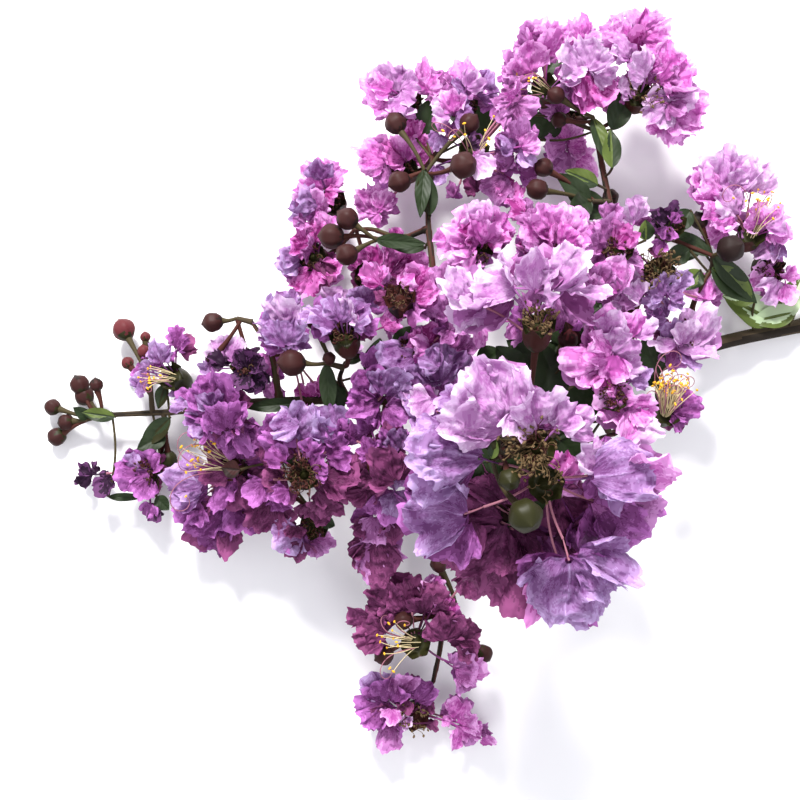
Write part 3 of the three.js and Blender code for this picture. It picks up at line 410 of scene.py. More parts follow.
        ((247, 368, 27), (250, 348, 30), 1.1, 0.2, "w"), ((248, 368, 27), (262, 352, 29), 0.8, -0.2, "w"),
        ((246, 370, 27), (235, 385, 28), 0.9, 0.2, "w"), ((250, 372, 26), (262, 392, 27), 0.9, 0.2, "w"),
        ((244, 366, 27), (233, 358, 28), 0.9, 0.2, "w"), ((225, 360, 20), (214, 338, 22), 1.1, 0.2, "p"),
        ((229, 360, 20), (238, 338, 22), 0.9, -0.2, "p"), ((224, 366, 22), (212, 356, 24), 0.9, 0.2, "w"),
        ((213, 370, 21), (203, 359, 22), 0.9, 0.2, "l"), ((255, 380, 26), (266, 386, 27), 1.0, 0.2, "w"),
        ((248, 376, 28), (240, 392, 29), 1.0, 0.2, "w"),
    ],
    "bloom_left_violet": [
        ((220, 414, 29), (203, 371, 35), 0.5, 0.3, "v"), ((224, 412, 30), (226, 372, 34), 0.45, -0.3, "v"),
        ((218, 412, 29), (187, 394, 34), 0.55, 0.3, "v"), ((218, 414, 30), (183, 420, 34), 0.6, -0.3, "l"),
        ((216, 414, 31), (198, 442, 31), 0.6, 0.2, "v"), ((228, 412, 29), (248, 404, 31), 0.8, 0.2, "v"),
        ((226, 424, 29), (244, 460, 27), 0.65, 0.2, "v"), ((232, 424, 29), (266, 448, 27), 0.5, -0.2, "v"),
        ((222, 424, 30), (220, 452, 29), 0.6, 0.2, "v"), ((214, 408, 33), (203, 392, 37), 0.9, 0.2, "l"),
        ((190, 405, 27), (167, 405, 27), 0.4, 0.1, "l"), ((212, 420, 33), (204, 430, 35), 1.1, 0.2, "v"),
        ((228, 430, 34), (221, 400, 39), 0.8, 0.2, "v"), ((232, 424, 34), (242, 414, 37), 0.9, 0.2, "v"),
    ],
    "bloom_left_spent": [
        ((161, 363, 15), (154, 342, 18), 0.9, 0.2, "l"), ((177, 351, 14), (176, 327, 17), 1.1, -0.2, "v"),
        ((148, 370, 15), (131, 394, 14), 0.6, 0.2, "l"), ((150, 368, 15), (140, 362, 16), 0.8, 0.2, "l"),
        ((174, 388, 14), (176, 400, 14), 0.7, 0.2, "l"), ((140, 385, 13), (130, 378, 14), 0.9, 0.2, "l"),
        ((165, 358, 15), (170, 347, 16), 0.8, 0.2, "l"),
    ],
    "bloom_left_far": [
        ((150, 471, 11), (115, 476, 12), 0.9, 0.2, "v"), ((150, 469, 11), (153, 450, 14), 0.9, -0.2, "v"),
        ((136, 471, 11), (124, 453, 12), 0.7, 0.2, "l"), ((149, 476, 11), (134, 496, 12), 0.9, -0.2, "v"),
        ((92, 475, 8), (79, 463, 9), 0.5, 0.2, "w"), ((91, 475, 8), (75, 488, 8), 0.4, -0.2, "w"),
        ((109, 479, 9), (101, 494, 9), 1.0, 0.2, "w"), ((151, 503, 10), (144, 519, 10), 0.9, 0.2, "v"),
        ((153, 506, 10), (158, 521, 10), 0.6, -0.2, "w"),
    ],
    "bloom_left_fan": [
        ((205, 481, 20), (162, 474, 22), 0.7, 0.2, "l"), ((200, 501, 18), (177, 521, 18), 0.8, -0.2, "v"),
        ((200, 496, 19), (170, 496, 20), 0.8, 0.2, "l"), ((232, 468, 22), (207, 512, 22), 0.5, 0.3, "v"),
        ((230, 466, 23), (199, 478, 24), 0.5, -0.3, "m"), ((236, 470, 22), (238, 512, 21), 0.55, 0.2, "m"),
        ((246, 462, 22), (268, 458, 24), 0.6, 0.2, "v"), ((248, 478, 22), (270, 492, 22), 0.8, 0.2, "m"),
        ((240, 459, 24), (238, 433, 26), 0.8, 0.2, "v"),
    ],
    "bloom_low_left": [
        ((223, 508, 15), (204, 565, 14), 0.45, 0.2, "v"), ((222, 506, 16), (191, 543, 15), 0.4, -0.2, "v"),
        ((226, 522, 14), (233, 552, 13), 0.45, 0.2, "m"), ((243, 486, 17), (250, 536, 16), 0.5, -0.2, "v"),
        ((240, 488, 17), (228, 528, 16), 0.45, 0.2, "v"), ((250, 490, 18), (276, 520, 17), 0.5, 0.2, "m"),
    ],
    "bloom_left_low": [
        ((295, 441, 36), (327, 410, 39), 0.8, 0.2, "l"), ((300, 441, 36), (320, 447, 37), 0.9, -0.2, "l"),
        ((288, 441, 35), (259, 430, 36), 0.9, 0.2, "v"), ((285, 436, 34), (266, 416, 36), 0.9, -0.2, "v"),
        ((290, 431, 34), (284, 408, 36), 0.8, 0.2, "l"), ((325, 456, 38), (352, 443, 41), 1.1, 0.2, "v"),
        ((325, 476, 38), (363, 475, 41), 1.0, -0.2, "m"), ((331, 481, 37), (346, 502, 37), 1.0, 0.2, "m"),
        ((325, 498, 36), (328, 522, 35), 1.2, -0.2, "m"), ((345, 446, 38), (345, 420, 41), 1.1, 0.2, "v"),
        ((262, 462, 27), (272, 452, 29), 1.0, 0.2, "m"), ((265, 481, 26), (249, 503, 26), 1.1, 0.2, "v"),
        ((270, 501, 22), (255, 534, 20), 0.8, -0.2, "m"), ((275, 496, 24), (287, 514, 23), 0.9, 0.2, "v"),
        ((285, 480, 26), (262, 475, 27), 1.0, 0.2, "m"), ((340, 470, 36), (345, 488, 36), 1.0, 0.2, "m"),
        ((310, 505, 30), (318, 528, 28), 0.8, 0.2, "m"), ((312, 470, 41), (330, 461, 43), 1.2, 0.2, "v"),
        ((310, 455, 41), (318, 439, 43), 1.2, 0.1, "v"), ((285, 462, 40), (270, 449, 41), 1.1, 0.2, "v"),
        ((288, 490, 38), (272, 500, 38), 1.1, 0.2, "v"), ((318, 490, 38), (336, 498, 38), 1.1, 0.2, "m"),
        ((300, 425, 39), (268, 424, 41), 0.6, 0.3, "l"), ((335, 440, 40), (318, 404, 42), 0.6, 0.3, "l"),
    ],
    "bloom_middle_low": [
        ((385, 491, 37), (385, 522, 37), 0.9, 0.2, "v"), ((395, 491, 38), (402, 517, 38), 0.9, -0.2, "l"),
        ((345, 432, 40), (333, 425, 42), 1.0, 0.2, "v"), ((390, 440, 40), (392, 425, 43), 1.1, 0.2, "m"),
        ((372, 432, 40), (362, 418, 42), 1.1, -0.2, "v"), ((400, 450, 41), (385, 432, 44), 0.9, 0.2, "l"),
        ((368, 470, 40), (350, 462, 42), 0.9, 0.2, "m"), ((395, 445, 38), (388, 462, 39), 1.0, 0.2, "m"),
        ((365, 485, 37), (362, 508, 36), 1.0, 0.1, "m"), ((368, 490, 37), (345, 492, 37), 0.9, 0.2, "m"),
        ((398, 470, 38), (408, 486, 38), 0.9, 0.2, "l"), ((405, 430, 40), (396, 445, 41), 0.9, 0.2, "k"),
        ((372, 455, 44), (358, 444, 45), 1.1, 0.2, "v"), ((372, 478, 42), (356, 484, 42), 1.1, 0.2, "m"),
        ((396, 482, 46), (372, 450, 48), 0.8, 0.2, "m"),
    ],
    "bloom_low_mauve": [
        ((300, 531, 21), (273, 547, 22), 0.9, 0.2, "l"), ((300, 541, 21), (295, 564, 21), 1.0, -0.2, "m"),
        ((296, 526, 22), (292, 543, 24), 0.9, 0.2, "m"), ((315, 539, 20), (335, 543, 20), 0.8, -0.2, "k"),
        ((312, 541, 20), (315, 560, 19), 0.6, 0.2, "k"),
    ],
    "bloom_low_middle": [
        ((375, 516, 31), (372, 547, 31), 0.9, 0.2, "k"), ((380, 546, 29), (364, 577, 28), 0.9, -0.2, "k"),
        ((385, 546, 29), (397, 567, 28), 0.8, 0.2, "k"), ((370, 521, 30), (353, 531, 30), 0.9, -0.2, "m"),
        ((365, 546, 29), (350, 556, 29), 0.7, 0.2, "m"), ((390, 521, 31), (398, 540, 31), 0.9, 0.2, "m"),
        ((375, 535, 30), (382, 582, 28), 0.6, 0.1, "m"),
    ],
    "bloom_hanging_upper": [
        ((412, 613, 25), (409, 577, 28), 1.0, 0.2, "m"), ((430, 613, 26), (446, 588, 29), 0.9, -0.2, "m"),
        ((441, 616, 25), (454, 600, 28), 0.8, 0.2, "h"), ((398, 606, 25), (364, 593, 27), 0.8, -0.2, "m"),
        ((395, 606, 25), (380, 617, 25), 0.6, 0.2, "m"), ((375, 621, 24), (346, 612, 24), 0.5, -0.2, "m"),
        ((386, 636, 24), (355, 632, 25), 0.8, 0.2, "m"), ((385, 641, 24), (366, 651, 24), 0.5, -0.2, "m"),
        ((445, 641, 25), (450, 609, 27), 0.9, 0.2, "m"), ((456, 639, 24), (479, 625, 25), 0.8, -0.2, "m"),
        ((462, 641, 24), (475, 658, 24), 0.7, 0.2, "m"), ((455, 669, 22), (480, 668, 24), 1.1, -0.2, "k"),
        ((465, 671, 22), (490, 673, 23), 0.6, 0.2, "b"), ((460, 676, 22), (466, 694, 21), 0.7, -0.2, "k"),
        ((432, 593, 24), (429, 577, 26), 1.0, 0.2, "b"), ((380, 630, 24), (366, 617, 26), 0.8, 0.2, "m"),
        ((425, 612, 26), (425, 590, 30), 1.2, 0.1, "m"), ((470, 575, 24), (475, 600, 23), 0.8, 0.2, "m"),
        ((452, 664, 22), (462, 656, 24), 1.0, 0.2, "k"),
    ],
    "bloom_hanging_lower": [
        ((386, 696, 10), (361, 684, 13), 1.0, 0.2, "l"), ((390, 701, 11), (388, 678, 14), 0.9, -0.2, "v"),
        ((400, 696, 11), (408, 671, 13), 0.6, 0.2, "k"), ((415, 701, 11), (426, 679, 13), 0.9, -0.2, "v"),
        ((386, 703, 11), (355, 710, 12), 1.0, 0.2, "v"), ((390, 706, 11), (374, 724, 11), 0.7, -0.2, "m"),
        ((392, 709, 12), (390, 725, 15), 0.9, 0.2, "b"), ((400, 723, 11), (413, 723, 12), 0.8, -0.2, "p"),
        ((392, 726, 10), (386, 748, 9), 0.7, 0.2, "k"), ((425, 701, 10), (431, 714, 11), 0.7, -0.2, "m"),
        ((430, 722, 10), (438, 732, 10), 0.7, 0.2, "m"), ((455, 721, 9), (471, 701, 12), 0.9, -0.2, "b"),
        ((460, 723, 9), (480, 722, 11), 0.9, 0.2, "b"), ((458, 726, 9), (466, 747, 8), 0.8, -0.2, "b"),
        ((452, 723, 9), (442, 720, 10), 0.6, 0.2, "b"), ((462, 726, 9), (484, 737, 9), 0.6, 0.2, "b"),
        ((408, 700, 11), (402, 713, 12), 1.1, 0.2, "m"), ((480, 738, 9), (495, 746, 8), 0.5, 0.2, "b"),
    ],
    "bloom_right_upper": [
        ((610, 247, 42), (599, 219, 46), 1.0, 0.2, "k"), ((615, 247, 42), (627, 221, 45), 0.9, -0.2, "h"),
        ((608, 249, 41), (600, 268, 41), 1.1, 0.2, "k"), ((605, 247, 42), (588, 246, 43), 0.8, -0.2, "k"),
        ((620, 252, 41), (638, 265, 41), 0.9, 0.2, "k"), ((635, 222, 32), (632, 197, 36), 1.0, 0.2, "p"),
        ((606, 222, 36), (620, 206, 38), 1.0, 0.2, "k"), ((598, 235, 38), (585, 224, 40), 1.0, 0.2, "b"),
        ((600, 293, 46), (597, 262, 48), 1.0, 0.2, "k"), ((618, 292, 44), (607, 258, 48), 0.8, 0.2, "b"),
        ((612, 302, 43), (596, 278, 45), 0.8, -0.2, "k"), ((640, 300, 38), (628, 284, 41), 0.9, 0.2, "p"),
    ],
    "bloom_right_withered": [
        ((668, 223, 30), (665, 201, 33), 1.1, 0.2, "w"), ((668, 226, 30), (665, 241, 30), 0.8, -0.2, "v"),
        ((664, 242, 29), (656, 254, 29), 0.8, 0.2, "v"), ((672, 222, 31), (680, 212, 32), 0.8, 0.2, "v"),
    ],
    "bloom_right_inner": [
        ((625, 301, 34), (626, 268, 38), 0.8, 0.2, "p"), ((628, 301, 33), (610, 284, 36), 0.8, -0.2, "p"),
        ((665, 296, 36), (654, 276, 39), 1.0, 0.2, "l"), ((668, 296, 36), (684, 289, 38), 1.1, -0.2, "l"),
        ((660, 299, 35), (645, 301, 36), 0.9, 0.2, "l"), ((672, 301, 35), (681, 312, 35), 0.8, -0.2, "l"),
        ((705, 301, 20), (705, 273, 22), 1.0, 0.2, "b"), ((640, 255, 38), (625, 262, 39), 1.0, 0.2, "k"),
        ((672, 285, 34), (690, 270, 36), 1.0, 0.2, "l"), ((650, 270, 34), (640, 285, 35), 1.0, 0.2, "b"),
        ((668, 318, 30), (648, 306, 32), 0.9, 0.2, "l"),
    ],
    "bloom_right_lilac": [
        ((678, 350, 26), (716, 309, 29), 0.45, 0.2, "p"), ((676, 350, 26), (720, 333, 28), 0.5, -0.3, "p"),
        ((678, 343, 27), (648, 346, 28), 0.4, 0.2, "p"), ((678, 352, 26), (704, 360, 26), 0.7, -0.2, "l"),
        ((682, 345, 28), (690, 318, 31), 0.7, 0.3, "p"), ((670, 338, 26), (672, 318, 29), 0.8, 0.2, "l"),
        ((665, 335, 24), (648, 322, 25), 0.9, 0.2, "m"),
    ],
    "bloom_right_far": [
        ((725, 201, 22), (704, 163, 25), 1.0, 0.2, "b"), ((728, 196, 22), (722, 145, 24), 0.8, -0.2, "p"),
        ((735, 217, 22), (697, 199, 26), 0.9, 0.2, "b"), ((738, 217, 22), (722, 193, 27), 0.9, -0.2, "p"),
        ((750, 192, 22), (766, 160, 25), 0.8, 0.2, "p"), ((728, 226, 21), (706, 236, 22), 0.7, -0.2, "b"),
        ((755, 227, 22), (750, 202, 26), 1.0, 0.2, "b"), ((765, 227, 22), (787, 213, 25), 1.0, -0.2, "p"),
        ((770, 230, 21), (792, 239, 23), 0.9, 0.2, "b"), ((768, 227, 22), (773, 204, 26), 0.9, -0.2, "b"),
        ((778, 242, 18), (750, 253, 18), 0.7, 0.2, "p"), ((780, 242, 18), (775, 261, 18), 0.7, -0.2, "l"),
        ((715, 190, 22), (688, 175, 24), 0.8, 0.2, "b"), ((735, 185, 23), (742, 170, 26), 0.8, 0.2, "p"),
    ],
    "bloom_right_edge": [
        ((775, 277, 14), (750, 275, 15), 0.7, 0.2, "b"), ((778, 280, 14), (768, 304, 14), 0.8, -0.2, "p"),
        ((785, 280, 14), (796, 264, 15), 0.8, 0.2, "b"), ((785, 284, 14), (789, 304, 13), 0.6, -0.2, "b"),
    ],
    "bloom_hot_right": [
        ((612, 350, 60), (592, 314, 64), 0.6, 0.2, "b"), ((614, 345, 61), (611, 308, 64), 0.5, -0.3, "p"),
        ((624, 340, 60), (641, 312, 63), 0.6, 0.3, "b"), ((632, 335, 60), (660, 324, 61), 0.45, -0.3, "p"),
        ((612, 352, 60), (634, 332, 64), 0.9, 0.2, "p"), ((606, 362, 60), (562, 360, 62), 0.45, -0.3, "b"),
        ((606, 370, 60), (572, 381, 61), 0.5, 0.3, "b"), ((608, 360, 61), (590, 338, 64), 0.9, 0.2, "b"),
        ((610, 372, 60), (598, 395, 61), 0.8, -0.2, "h"), ((622, 372, 59), (640, 352, 61), 0.8, 0.2, "p"),
        ((615, 354, 62), (613, 386, 62), 0.6, 0.1, "b"), ((628, 402, 58), (590, 411, 60), 0.5, -0.3, "b"),
        ((630, 405, 58), (657, 415, 59), 0.8, 0.3, "b"), ((630, 408, 58), (638, 446, 58), 0.6, -0.2, "b"),
        ((625, 420, 58), (654, 438, 58), 0.7, 0.1, "p"), ((615, 396, 59), (637, 394, 60), 0.8, 0.2, "b"),
        ((622, 438, 56), (641, 457, 56), 0.5, 0.2, "b"), ((630, 382, 58), (651, 370, 59), 0.8, 0.2, "l"),
        ((600, 345, 57), (582, 332, 58), 0.8, 0.2, "b"),
    ],
    "bloom_right_low": [
        ((672, 412, 31), (698, 396, 32), 0.8, 0.2, "v"), ((672, 414, 31), (690, 427, 31), 0.8, -0.2, "v"),
        ((676, 405, 30), (684, 386, 31), 0.8, 0.2, "v"),
    ],
}

# Leaves, read the same way: where it starts, its tip, its half width in millimetres and its look.
LOOSE_LEAVES = [
    ((295, 403, 24), (245, 408, 24), 1.7, "dark"), ((335, 381, 28), (338, 418, 30), 2.5, "dark"),
    ((372, 378, 30), (380, 338, 32), 3, "dark"), ((392, 343, 33), (420, 326, 33), 1.8, "dark"),
    ((345, 362, 30), (366, 355, 30), 1.2, "olive"), ((535, 420, 48), (560, 335, 46), 5, "dark"),
    ((540, 345, 44), (515, 400, 44), 5, "dark"), ((575, 420, 46), (590, 380, 46), 4, "dark"),
    ((565, 300, 46), (600, 308, 46), 3, "dark"), ((430, 215, 32), (423, 168, 33), 2.5, "olive"),
    ((425, 248, 30), (381, 241, 32), 2, "dark"), ((612, 168, 28), (611, 128, 28), 2.3, "bright"),
    ((605, 215, 25), (568, 192, 27), 3.3, "dark"), ((598, 185, 27), (565, 170, 27), 2.2, "green"),
    ((490, 135, 14), (462, 98, 14), 5, "dark"), ((500, 115, 12), (545, 98, 12), 4, "dark"),
    ((400, 118, 14), (425, 105, 14), 2.5, "dark"), ((545, 75, 15), (560, 52, 15), 2.5, "dark"),
    ((646, 240, 30), (646, 220, 32), 2, "bright"), ((690, 210, 26), (674, 232, 26), 2.5, "dark"),
    ((712, 268, 22), (755, 302, 20), 3.3, "bright"), ((700, 242, 22), (680, 262, 22), 2, "dark"),
    ((700, 270, 22), (685, 290, 22), 2.5, "green"), ((755, 300, 12), (722, 295, 12), 2.2, "pale"),
    ((795, 312, 9), (750, 322, 9), 3, "pale"), ((170, 418, 11), (140, 447, 10), 2.4, "olive"),
    ((115, 417, 8), (80, 412, 8), 1.8, "green"), ((366, 456, 36), (374, 478, 36), 1.5, "olive"),
    ((378, 462, 37), (396, 486, 37), 2.7, "dark"), ((283, 462, 32), (300, 457, 33), 1.5, "dark"),
    ((322, 520, 24), (335, 526, 24), 1.6, "dark"), ((156, 497, 10), (169, 510, 10), 2, "dark"),
    ((108, 497, 8), (145, 497, 9), 1.1, "dark"), ((560, 440, 50), (588, 470, 48), 4, "dark"),
    ((425, 135, 20), (440, 95, 22), 4, "dark"), ((540, 140, 12), (548, 108, 13), 4.5, "dark"),
    ((612, 130, 22), (630, 85, 24), 3, "dark"), ((570, 335, 46), (602, 303, 46), 3.5, "dark"),
    ((690, 250, 24), (663, 262, 25), 2.5, "dark"), ((660, 372, 24), (643, 338, 26), 3, "dark"),
    ((500, 350, 42), (478, 372, 42), 3.5, "dark"), ((400, 480, 34), (384, 452, 35), 2.6, "dark"),
    ((588, 442, 58), (628, 430, 58), 0.5, "maroon"), ((545, 398, 52), (602, 366, 56), 0.4, "olive"),
    ((522, 374, 48), (496, 346, 48), 3, "dark"), ((512, 520, 54), (500, 505, 55), 2.6, "maroon"),
    ((524, 528, 49), (496, 500, 50), 3, "maroon"), ((512, 458, 58), (490, 416, 60), 3, "maroon"),
    ((491, 459, 79), (496, 440, 80), 1.1, "green"), ((530, 545, 48), (478, 500, 48), 4, "maroon"),
    ((560, 345, 46), (550, 292, 46), 3, "dark"), ((240, 470, 28), (221, 468, 28), 2.2, "maroon"),
    ((165, 384, 12), (158, 409, 12), 1.7, "olive"), ((525, 500, 50), (466, 440, 50), 5, "dark"),
    ((500, 472, 49), (568, 432, 49), 5, "dark"), ((565, 505, 52), (500, 525, 52), 4, "dark"),
    ((478, 432, 66), (422, 426, 64), 2.8, "maroon"), ((486, 462, 58), (474, 500, 58), 2.0, "dark"),
    ((560, 432, 60), (486, 430, 60), 2.6, "maroon"), ((575, 352, 50), (566, 322, 52), 2.2, "maroon"),
]

# The tone of the petal that grows in the shade behind one of each tone.
SHADED = {"p": "k", "b": "k", "l": "v", "k": "v", "h": "k", "v": "m", "m": "m", "w": "w"}

# ---------- colours ----------

# A petal tone goes from the deep colour by the claw to the pale rim, which is partly the petal's own
# paler edge and partly painted highlight; painted shade deepens it in the folds and painted highlight
# pales it where the petal stands up. Each has its number of shades and its colours at both ends. The
# tones also paint light and shade: the pale and bright pinks partly stand for petals in full light, and
# the duller pink, violet and mauve for petals in shade, as on the shaded petal behind each one.
TONES = {
    "p": (6, (166, 106, 166), (228, 200, 232)),  # pale, in full light
    "b": (4, (172, 80, 158), (242, 183, 238)),  # bright pink
    "l": (5, (114, 66, 120), (192, 162, 210)),  # lavender
    "k": (4, (126, 62, 118), (204, 142, 202)),  # duller pink
    "h": (3, (146, 50, 122), (222, 142, 210)),  # hot pink
    "v": (4, (106, 46, 102), (186, 114, 188)),  # violet
    "m": (4, (78, 30, 64), (146, 76, 124)),  # mauve, in shade
    "w": (2, (44, 22, 46), (96, 56, 98)),  # withered
}
# The other materials, each with its colour and roughness.
PLAIN = {
    "bark": ((66, 56, 42), 0.8),
    "bark_dark": ((40, 34, 28), 0.85),
    "stalk_red": ((68, 36, 30), 0.65),
    "stalk_green": ((62, 54, 34), 0.65),
    "bud_maroon": ((52, 25, 24), 0.55),
    "bud_dark": ((34, 22, 20), 0.6),
    "bud_pink": ((88, 36, 40), 0.55),
    "calyx_maroon": ((62, 30, 26), 0.6),
    "calyx_olive": ((38, 38, 16), 0.5),
    "leaf": ((36, 50, 26), 0.5),
    "leaf_light": ((84, 100, 44), 0.45),
    "leaf_pale": ((178, 200, 160), 0.45),
    "filament": ((216, 200, 156), 0.5),
    "claw": ((150, 96, 112), 0.5),
    "dried": ((94, 76, 52), 0.8),
    "anther": ((226, 170, 50), 0.7),
}
NAMES = [tone + str(k) for tone, (shades, _, _) in TONES.items() for k in range(shades)] + list(PLAIN)
PAINT = {name: number for number, name in enumerate(NAMES)}

FLOOR_COLOUR = (246, 246, 247)
LEAF_SPECULAR, SPECULAR = 0.3, 0.15
ROUGHNESS_SPREAD = 0.1  # either way
BUMP_STRENGTH = 0.5
PETAL_ROUGHNESS, FLOOR_ROUGHNESS = 0.6, 0.7
PETAL_THROUGH, LEAF_THROUGH = 0.28, 0.25  # the share of light that is let through
# The scale of the bumps, and their depth in metres.
PETAL_GRAIN, PETAL_DEPTH = 1500.0, 0.00012
GRAIN, BARK_DEPTH, DEPTH = 900.0, 0.0003, 0.00008
FLOOR_GRAIN, FLOOR_DEPTH = 300.0, 0.00002


def linear(colour):
    """The shader's colour for one that is given in 0 to 255, as in a picture."""
    return tuple((c / 255 / 12.92) if c < 11 else ((c / 255 + 0.055) / 1.055) ** 2.4 for c in colour)


def add_node(nodes, kind, **values):
    """A new shader node. Each value is named for its input, with underscores for spaces."""
    node = nodes.new("ShaderNode" + kind)
    for socket, value in values.items():
        node.inputs[socket.replace("_", " ")].default_value = value
    return node


def make_material(name, colour, roughness, grain, depth, through=0.0):
    """Principled over fine bumps, uneven in its roughness. A petal or leaf also lets light through."""
    tint = (*linear(colour), 1)
    low, high = roughness - ROUGHNESS_SPREAD, roughness + ROUGHNESS_SPREAD
    specular = LEAF_SPECULAR if name.startswith("leaf") else SPECULAR
    material = bpy.data.materials.new(name)
    material.use_nodes = True
    material.diffuse_color = tint
    nodes, links = material.node_tree.nodes, material.node_tree.links
    nodes.clear()
    place = add_node(nodes, "TexCoord").outputs["Object"]
    fine = add_node(nodes, "TexNoise", Scale=grain, Detail=3.0)
    broad = add_node(nodes, "TexNoise", Scale=grain / 6, Detail=2.0)
    bump = add_node(nodes, "Bump", Strength=BUMP_STRENGTH, Distance=depth)
    spread = add_node(nodes, "MapRange", To_Min=low, To_Max=high)
    shader = add_node(nodes, "BsdfPrincipled", Base_Color=tint, Specular_IOR_Level=specular)
    links.new(place, fine.inputs["Vector"])
    links.new(place, broad.inputs["Vector"])
    links.new(fine.outputs["Fac"], bump.inputs["Height"])
    links.new(broad.outputs["Fac"], spread.inputs["Value"])
    links.new(bump.outputs["Normal"], shader.inputs["Normal"])
    links.new(spread.outputs["Result"], shader.inputs["Roughness"])
    surface = shader.outputs["BSDF"]
    if through:
        glow = add_node(nodes, "BsdfTranslucent", Color=tint)
        blend = add_node(nodes, "MixShader", Fac=through)
        links.new(surface, blend.inputs[1])
        links.new(glow.outputs["BSDF"], blend.inputs[2])
        surface = blend.outputs["Shader"]
    links.new(surface, add_node(nodes, "OutputMaterial").inputs["Surface"])
    return material


MATERIALS = {}
for tone, (shades, deep, rim) in TONES.items():
    for k in range(shades):
        name = tone + str(k)
        colour = [a + (b - a) * k / (shades - 1) for a, b in zip(deep, rim)]
        MATERIALS[name] = make_material(
            "petal_" + name, colour, PETAL_ROUGHNESS, PETAL_GRAIN, PETAL_DEPTH, PETAL_THROUGH
        )
for name, (colour, roughness) in PLAIN.items():
    through = LEAF_THROUGH if name.startswith("leaf") else 0.0
    depth = BARK_DEPTH if name.startswith("bark") else DEPTH
    MATERIALS[name] = make_material(name, colour, roughness, GRAIN, depth, through)

# ---------- growing a mesh ----------

# Each thing draws its random numbers from a seed of its own, so that one can change alone.
LIMB_SEED, SPRIG_SEED, BLOOM_SEED, DRESS_SEED = 100, 700, 900, 5000
LEAF_SEED, LONE_SEED = 77, 4
PETAL_SEEDS = 60  # set aside for each bloom's petals
SHADE_SEED = 2000  # from a petal's seed to that of the shaded one behind it
TUBE_SIDE = np.array([0.1, 0.2, 1.0])  # directions that no path or axis runs along
TURNED_SIDE = np.array([1.0, 0.3, 0.1])
SPARE_SIDE = np.array([0.3, 0.9, 0.2])


class Bag:
    """Collects grids of points, in plan millimetres, into one mesh."""

    def __init__(self):
        self.points, self.faces, self.paint, self.count = [], [], [], 0

    def grid(self, points, paint, closed=False):
        """Adds rows of points, joined by quads. Closed rows run round to their own start."""
        rows, cols = points.shape[:2]
        index = np.arange(rows * cols).reshape(rows, cols) + self.count
        beside = np.roll(index, -1, axis=1) if closed else index[:, 1:]
        here = index if closed else index[:, :-1]
        quads = np.stack([here[:-1], beside[:-1], beside[1:], here[1:]], axis=-1).reshape(-1, 4)
        self.points.append(points.reshape(-1, 3))
        self.faces.append(quads)
        self.paint.append(np.broadcast_to(paint, here[:-1].shape).reshape(-1))
        self.count += rows * cols

    def piece(self, name, slot, nodes=()):
        """Makes the mesh, with one material slot for each paint, in place of the named solids."""
        points = np.concatenate(self.points)
        points[:, 2] = np.maximum(points[:, 2], FLOOR_GAP - LIFT)
        points = (points + np.array([-MIDDLE[0], -MIDDLE[1], LIFT])) / MM
        quads = np.concatenate(self.faces)
        paint = np.concatenate(self.paint)
        mesh = bpy.data.meshes.new(name)
        mesh.vertices.add(len(points))
        mesh.vertices.foreach_set("co", points.astype(np.float32).ravel())
        mesh.loops.add(quads.size)
        mesh.loops.foreach_set("vertex_index", quads.astype(np.int32).ravel())
        mesh.polygons.add(len(quads))
        mesh.polygons.foreach_set("loop_start", np.arange(0, quads.size, 4, dtype=np.int32))
        used, place = np.unique(paint, return_inverse=True)
        for number in used:
            mesh.materials.append(MATERIALS[NAMES[number]])
        mesh.polygons.foreach_set("material_index", place.astype(np.int32).ravel())
        mesh.polygons.foreach_set("use_smooth", np.ones(len(quads), dtype=bool))
        mesh.update(calc_edges=True)
        thing = bpy.data.objects.new(name, mesh)
        bpy.context.scene.collection.objects.link(thing)
        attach(thing, "root")
        if nodes:
            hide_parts(*nodes)


def seen(place):
    """The plan point, in millimetres, that shows at a picture position and has the given height."""
    across, down, height = place
    pixel = SENSOR / CAMERA_LENS * (CAMERA_HEIGHT - height) / PICTURE
    return np.array([(across - PICTURE / 2) * pixel, (PICTURE / 2 - down) * pixel, height])


def unit(v):
    """The same direction, one long."""
    v = np.asarray(v, dtype=float)
    return v / max(np.linalg.norm(v), 1e-9)


def square_to(v, axis):
    """The part of v that is square to the axis, one long."""
    rest = v - axis * np.dot(v, axis)
    if np.linalg.norm(rest) < 1e-4:
        rest = np.cross(axis, SPARE_SIDE)
    return unit(rest)


def around(sides):
    """Even angles round a circle."""
    return np.linspace(0, 2 * math.pi, sides, endpoint=False)


def circle(angles, side, other):
    """The points at those angles on a circle that is one in radius."""
    return np.cos(angles)[:, None] * side + np.sin(angles)[:, None] * other


def smooth_path(points, steps):
    """The same curve as the solids have: uniform Catmull-Rom, half tension."""
    p = np.asarray(points, dtype=float)
    p = np.vstack([2 * p[0] - p[1], p, 2 * p[-1] - p[-2]])
    spans = len(points) - 1
    t = np.linspace(0, spans, steps + 1)
    k = np.minimum(t.astype(int), spans - 1)
    w = (t - k)[:, None]
    a, b = p[k + 1], p[k + 2]
    da, db = 0.5 * (p[k + 2] - p[k]), 0.5 * (p[k + 3] - p[k + 1])
    return a + da * w + (-3 * a + 3 * b - 2 * da - db) * w**2 + (2 * a - 2 * b + da + db) * w**3


def tube(bag, path, radii, sides, paint, knobs=None):
    """A tube along the path. Knobs, if given, is rows by sides: how much further out each point is."""
    path = np.asarray(path, dtype=float)
    radii = np.broadcast_to(radii, len(path))
    tangents = np.gradient(path, axis=0)
    angles = around(sides)
    side = square_to(TUBE_SIDE, unit(tangents[0]))
    rings = []
    for spot, tangent, radius in zip(path, tangents, radii):
        tangent = unit(tangent)
        side = square_to(side, tangent)
        rings.append(spot + radius * circle(angles, side, np.cross(tangent, side)))
    rings = np.array(rings)
    if knobs is not None:
        rings = path[:, None] + (rings - path[:, None]) * knobs[..., None]
    bag.grid(rings, paint, closed=True)


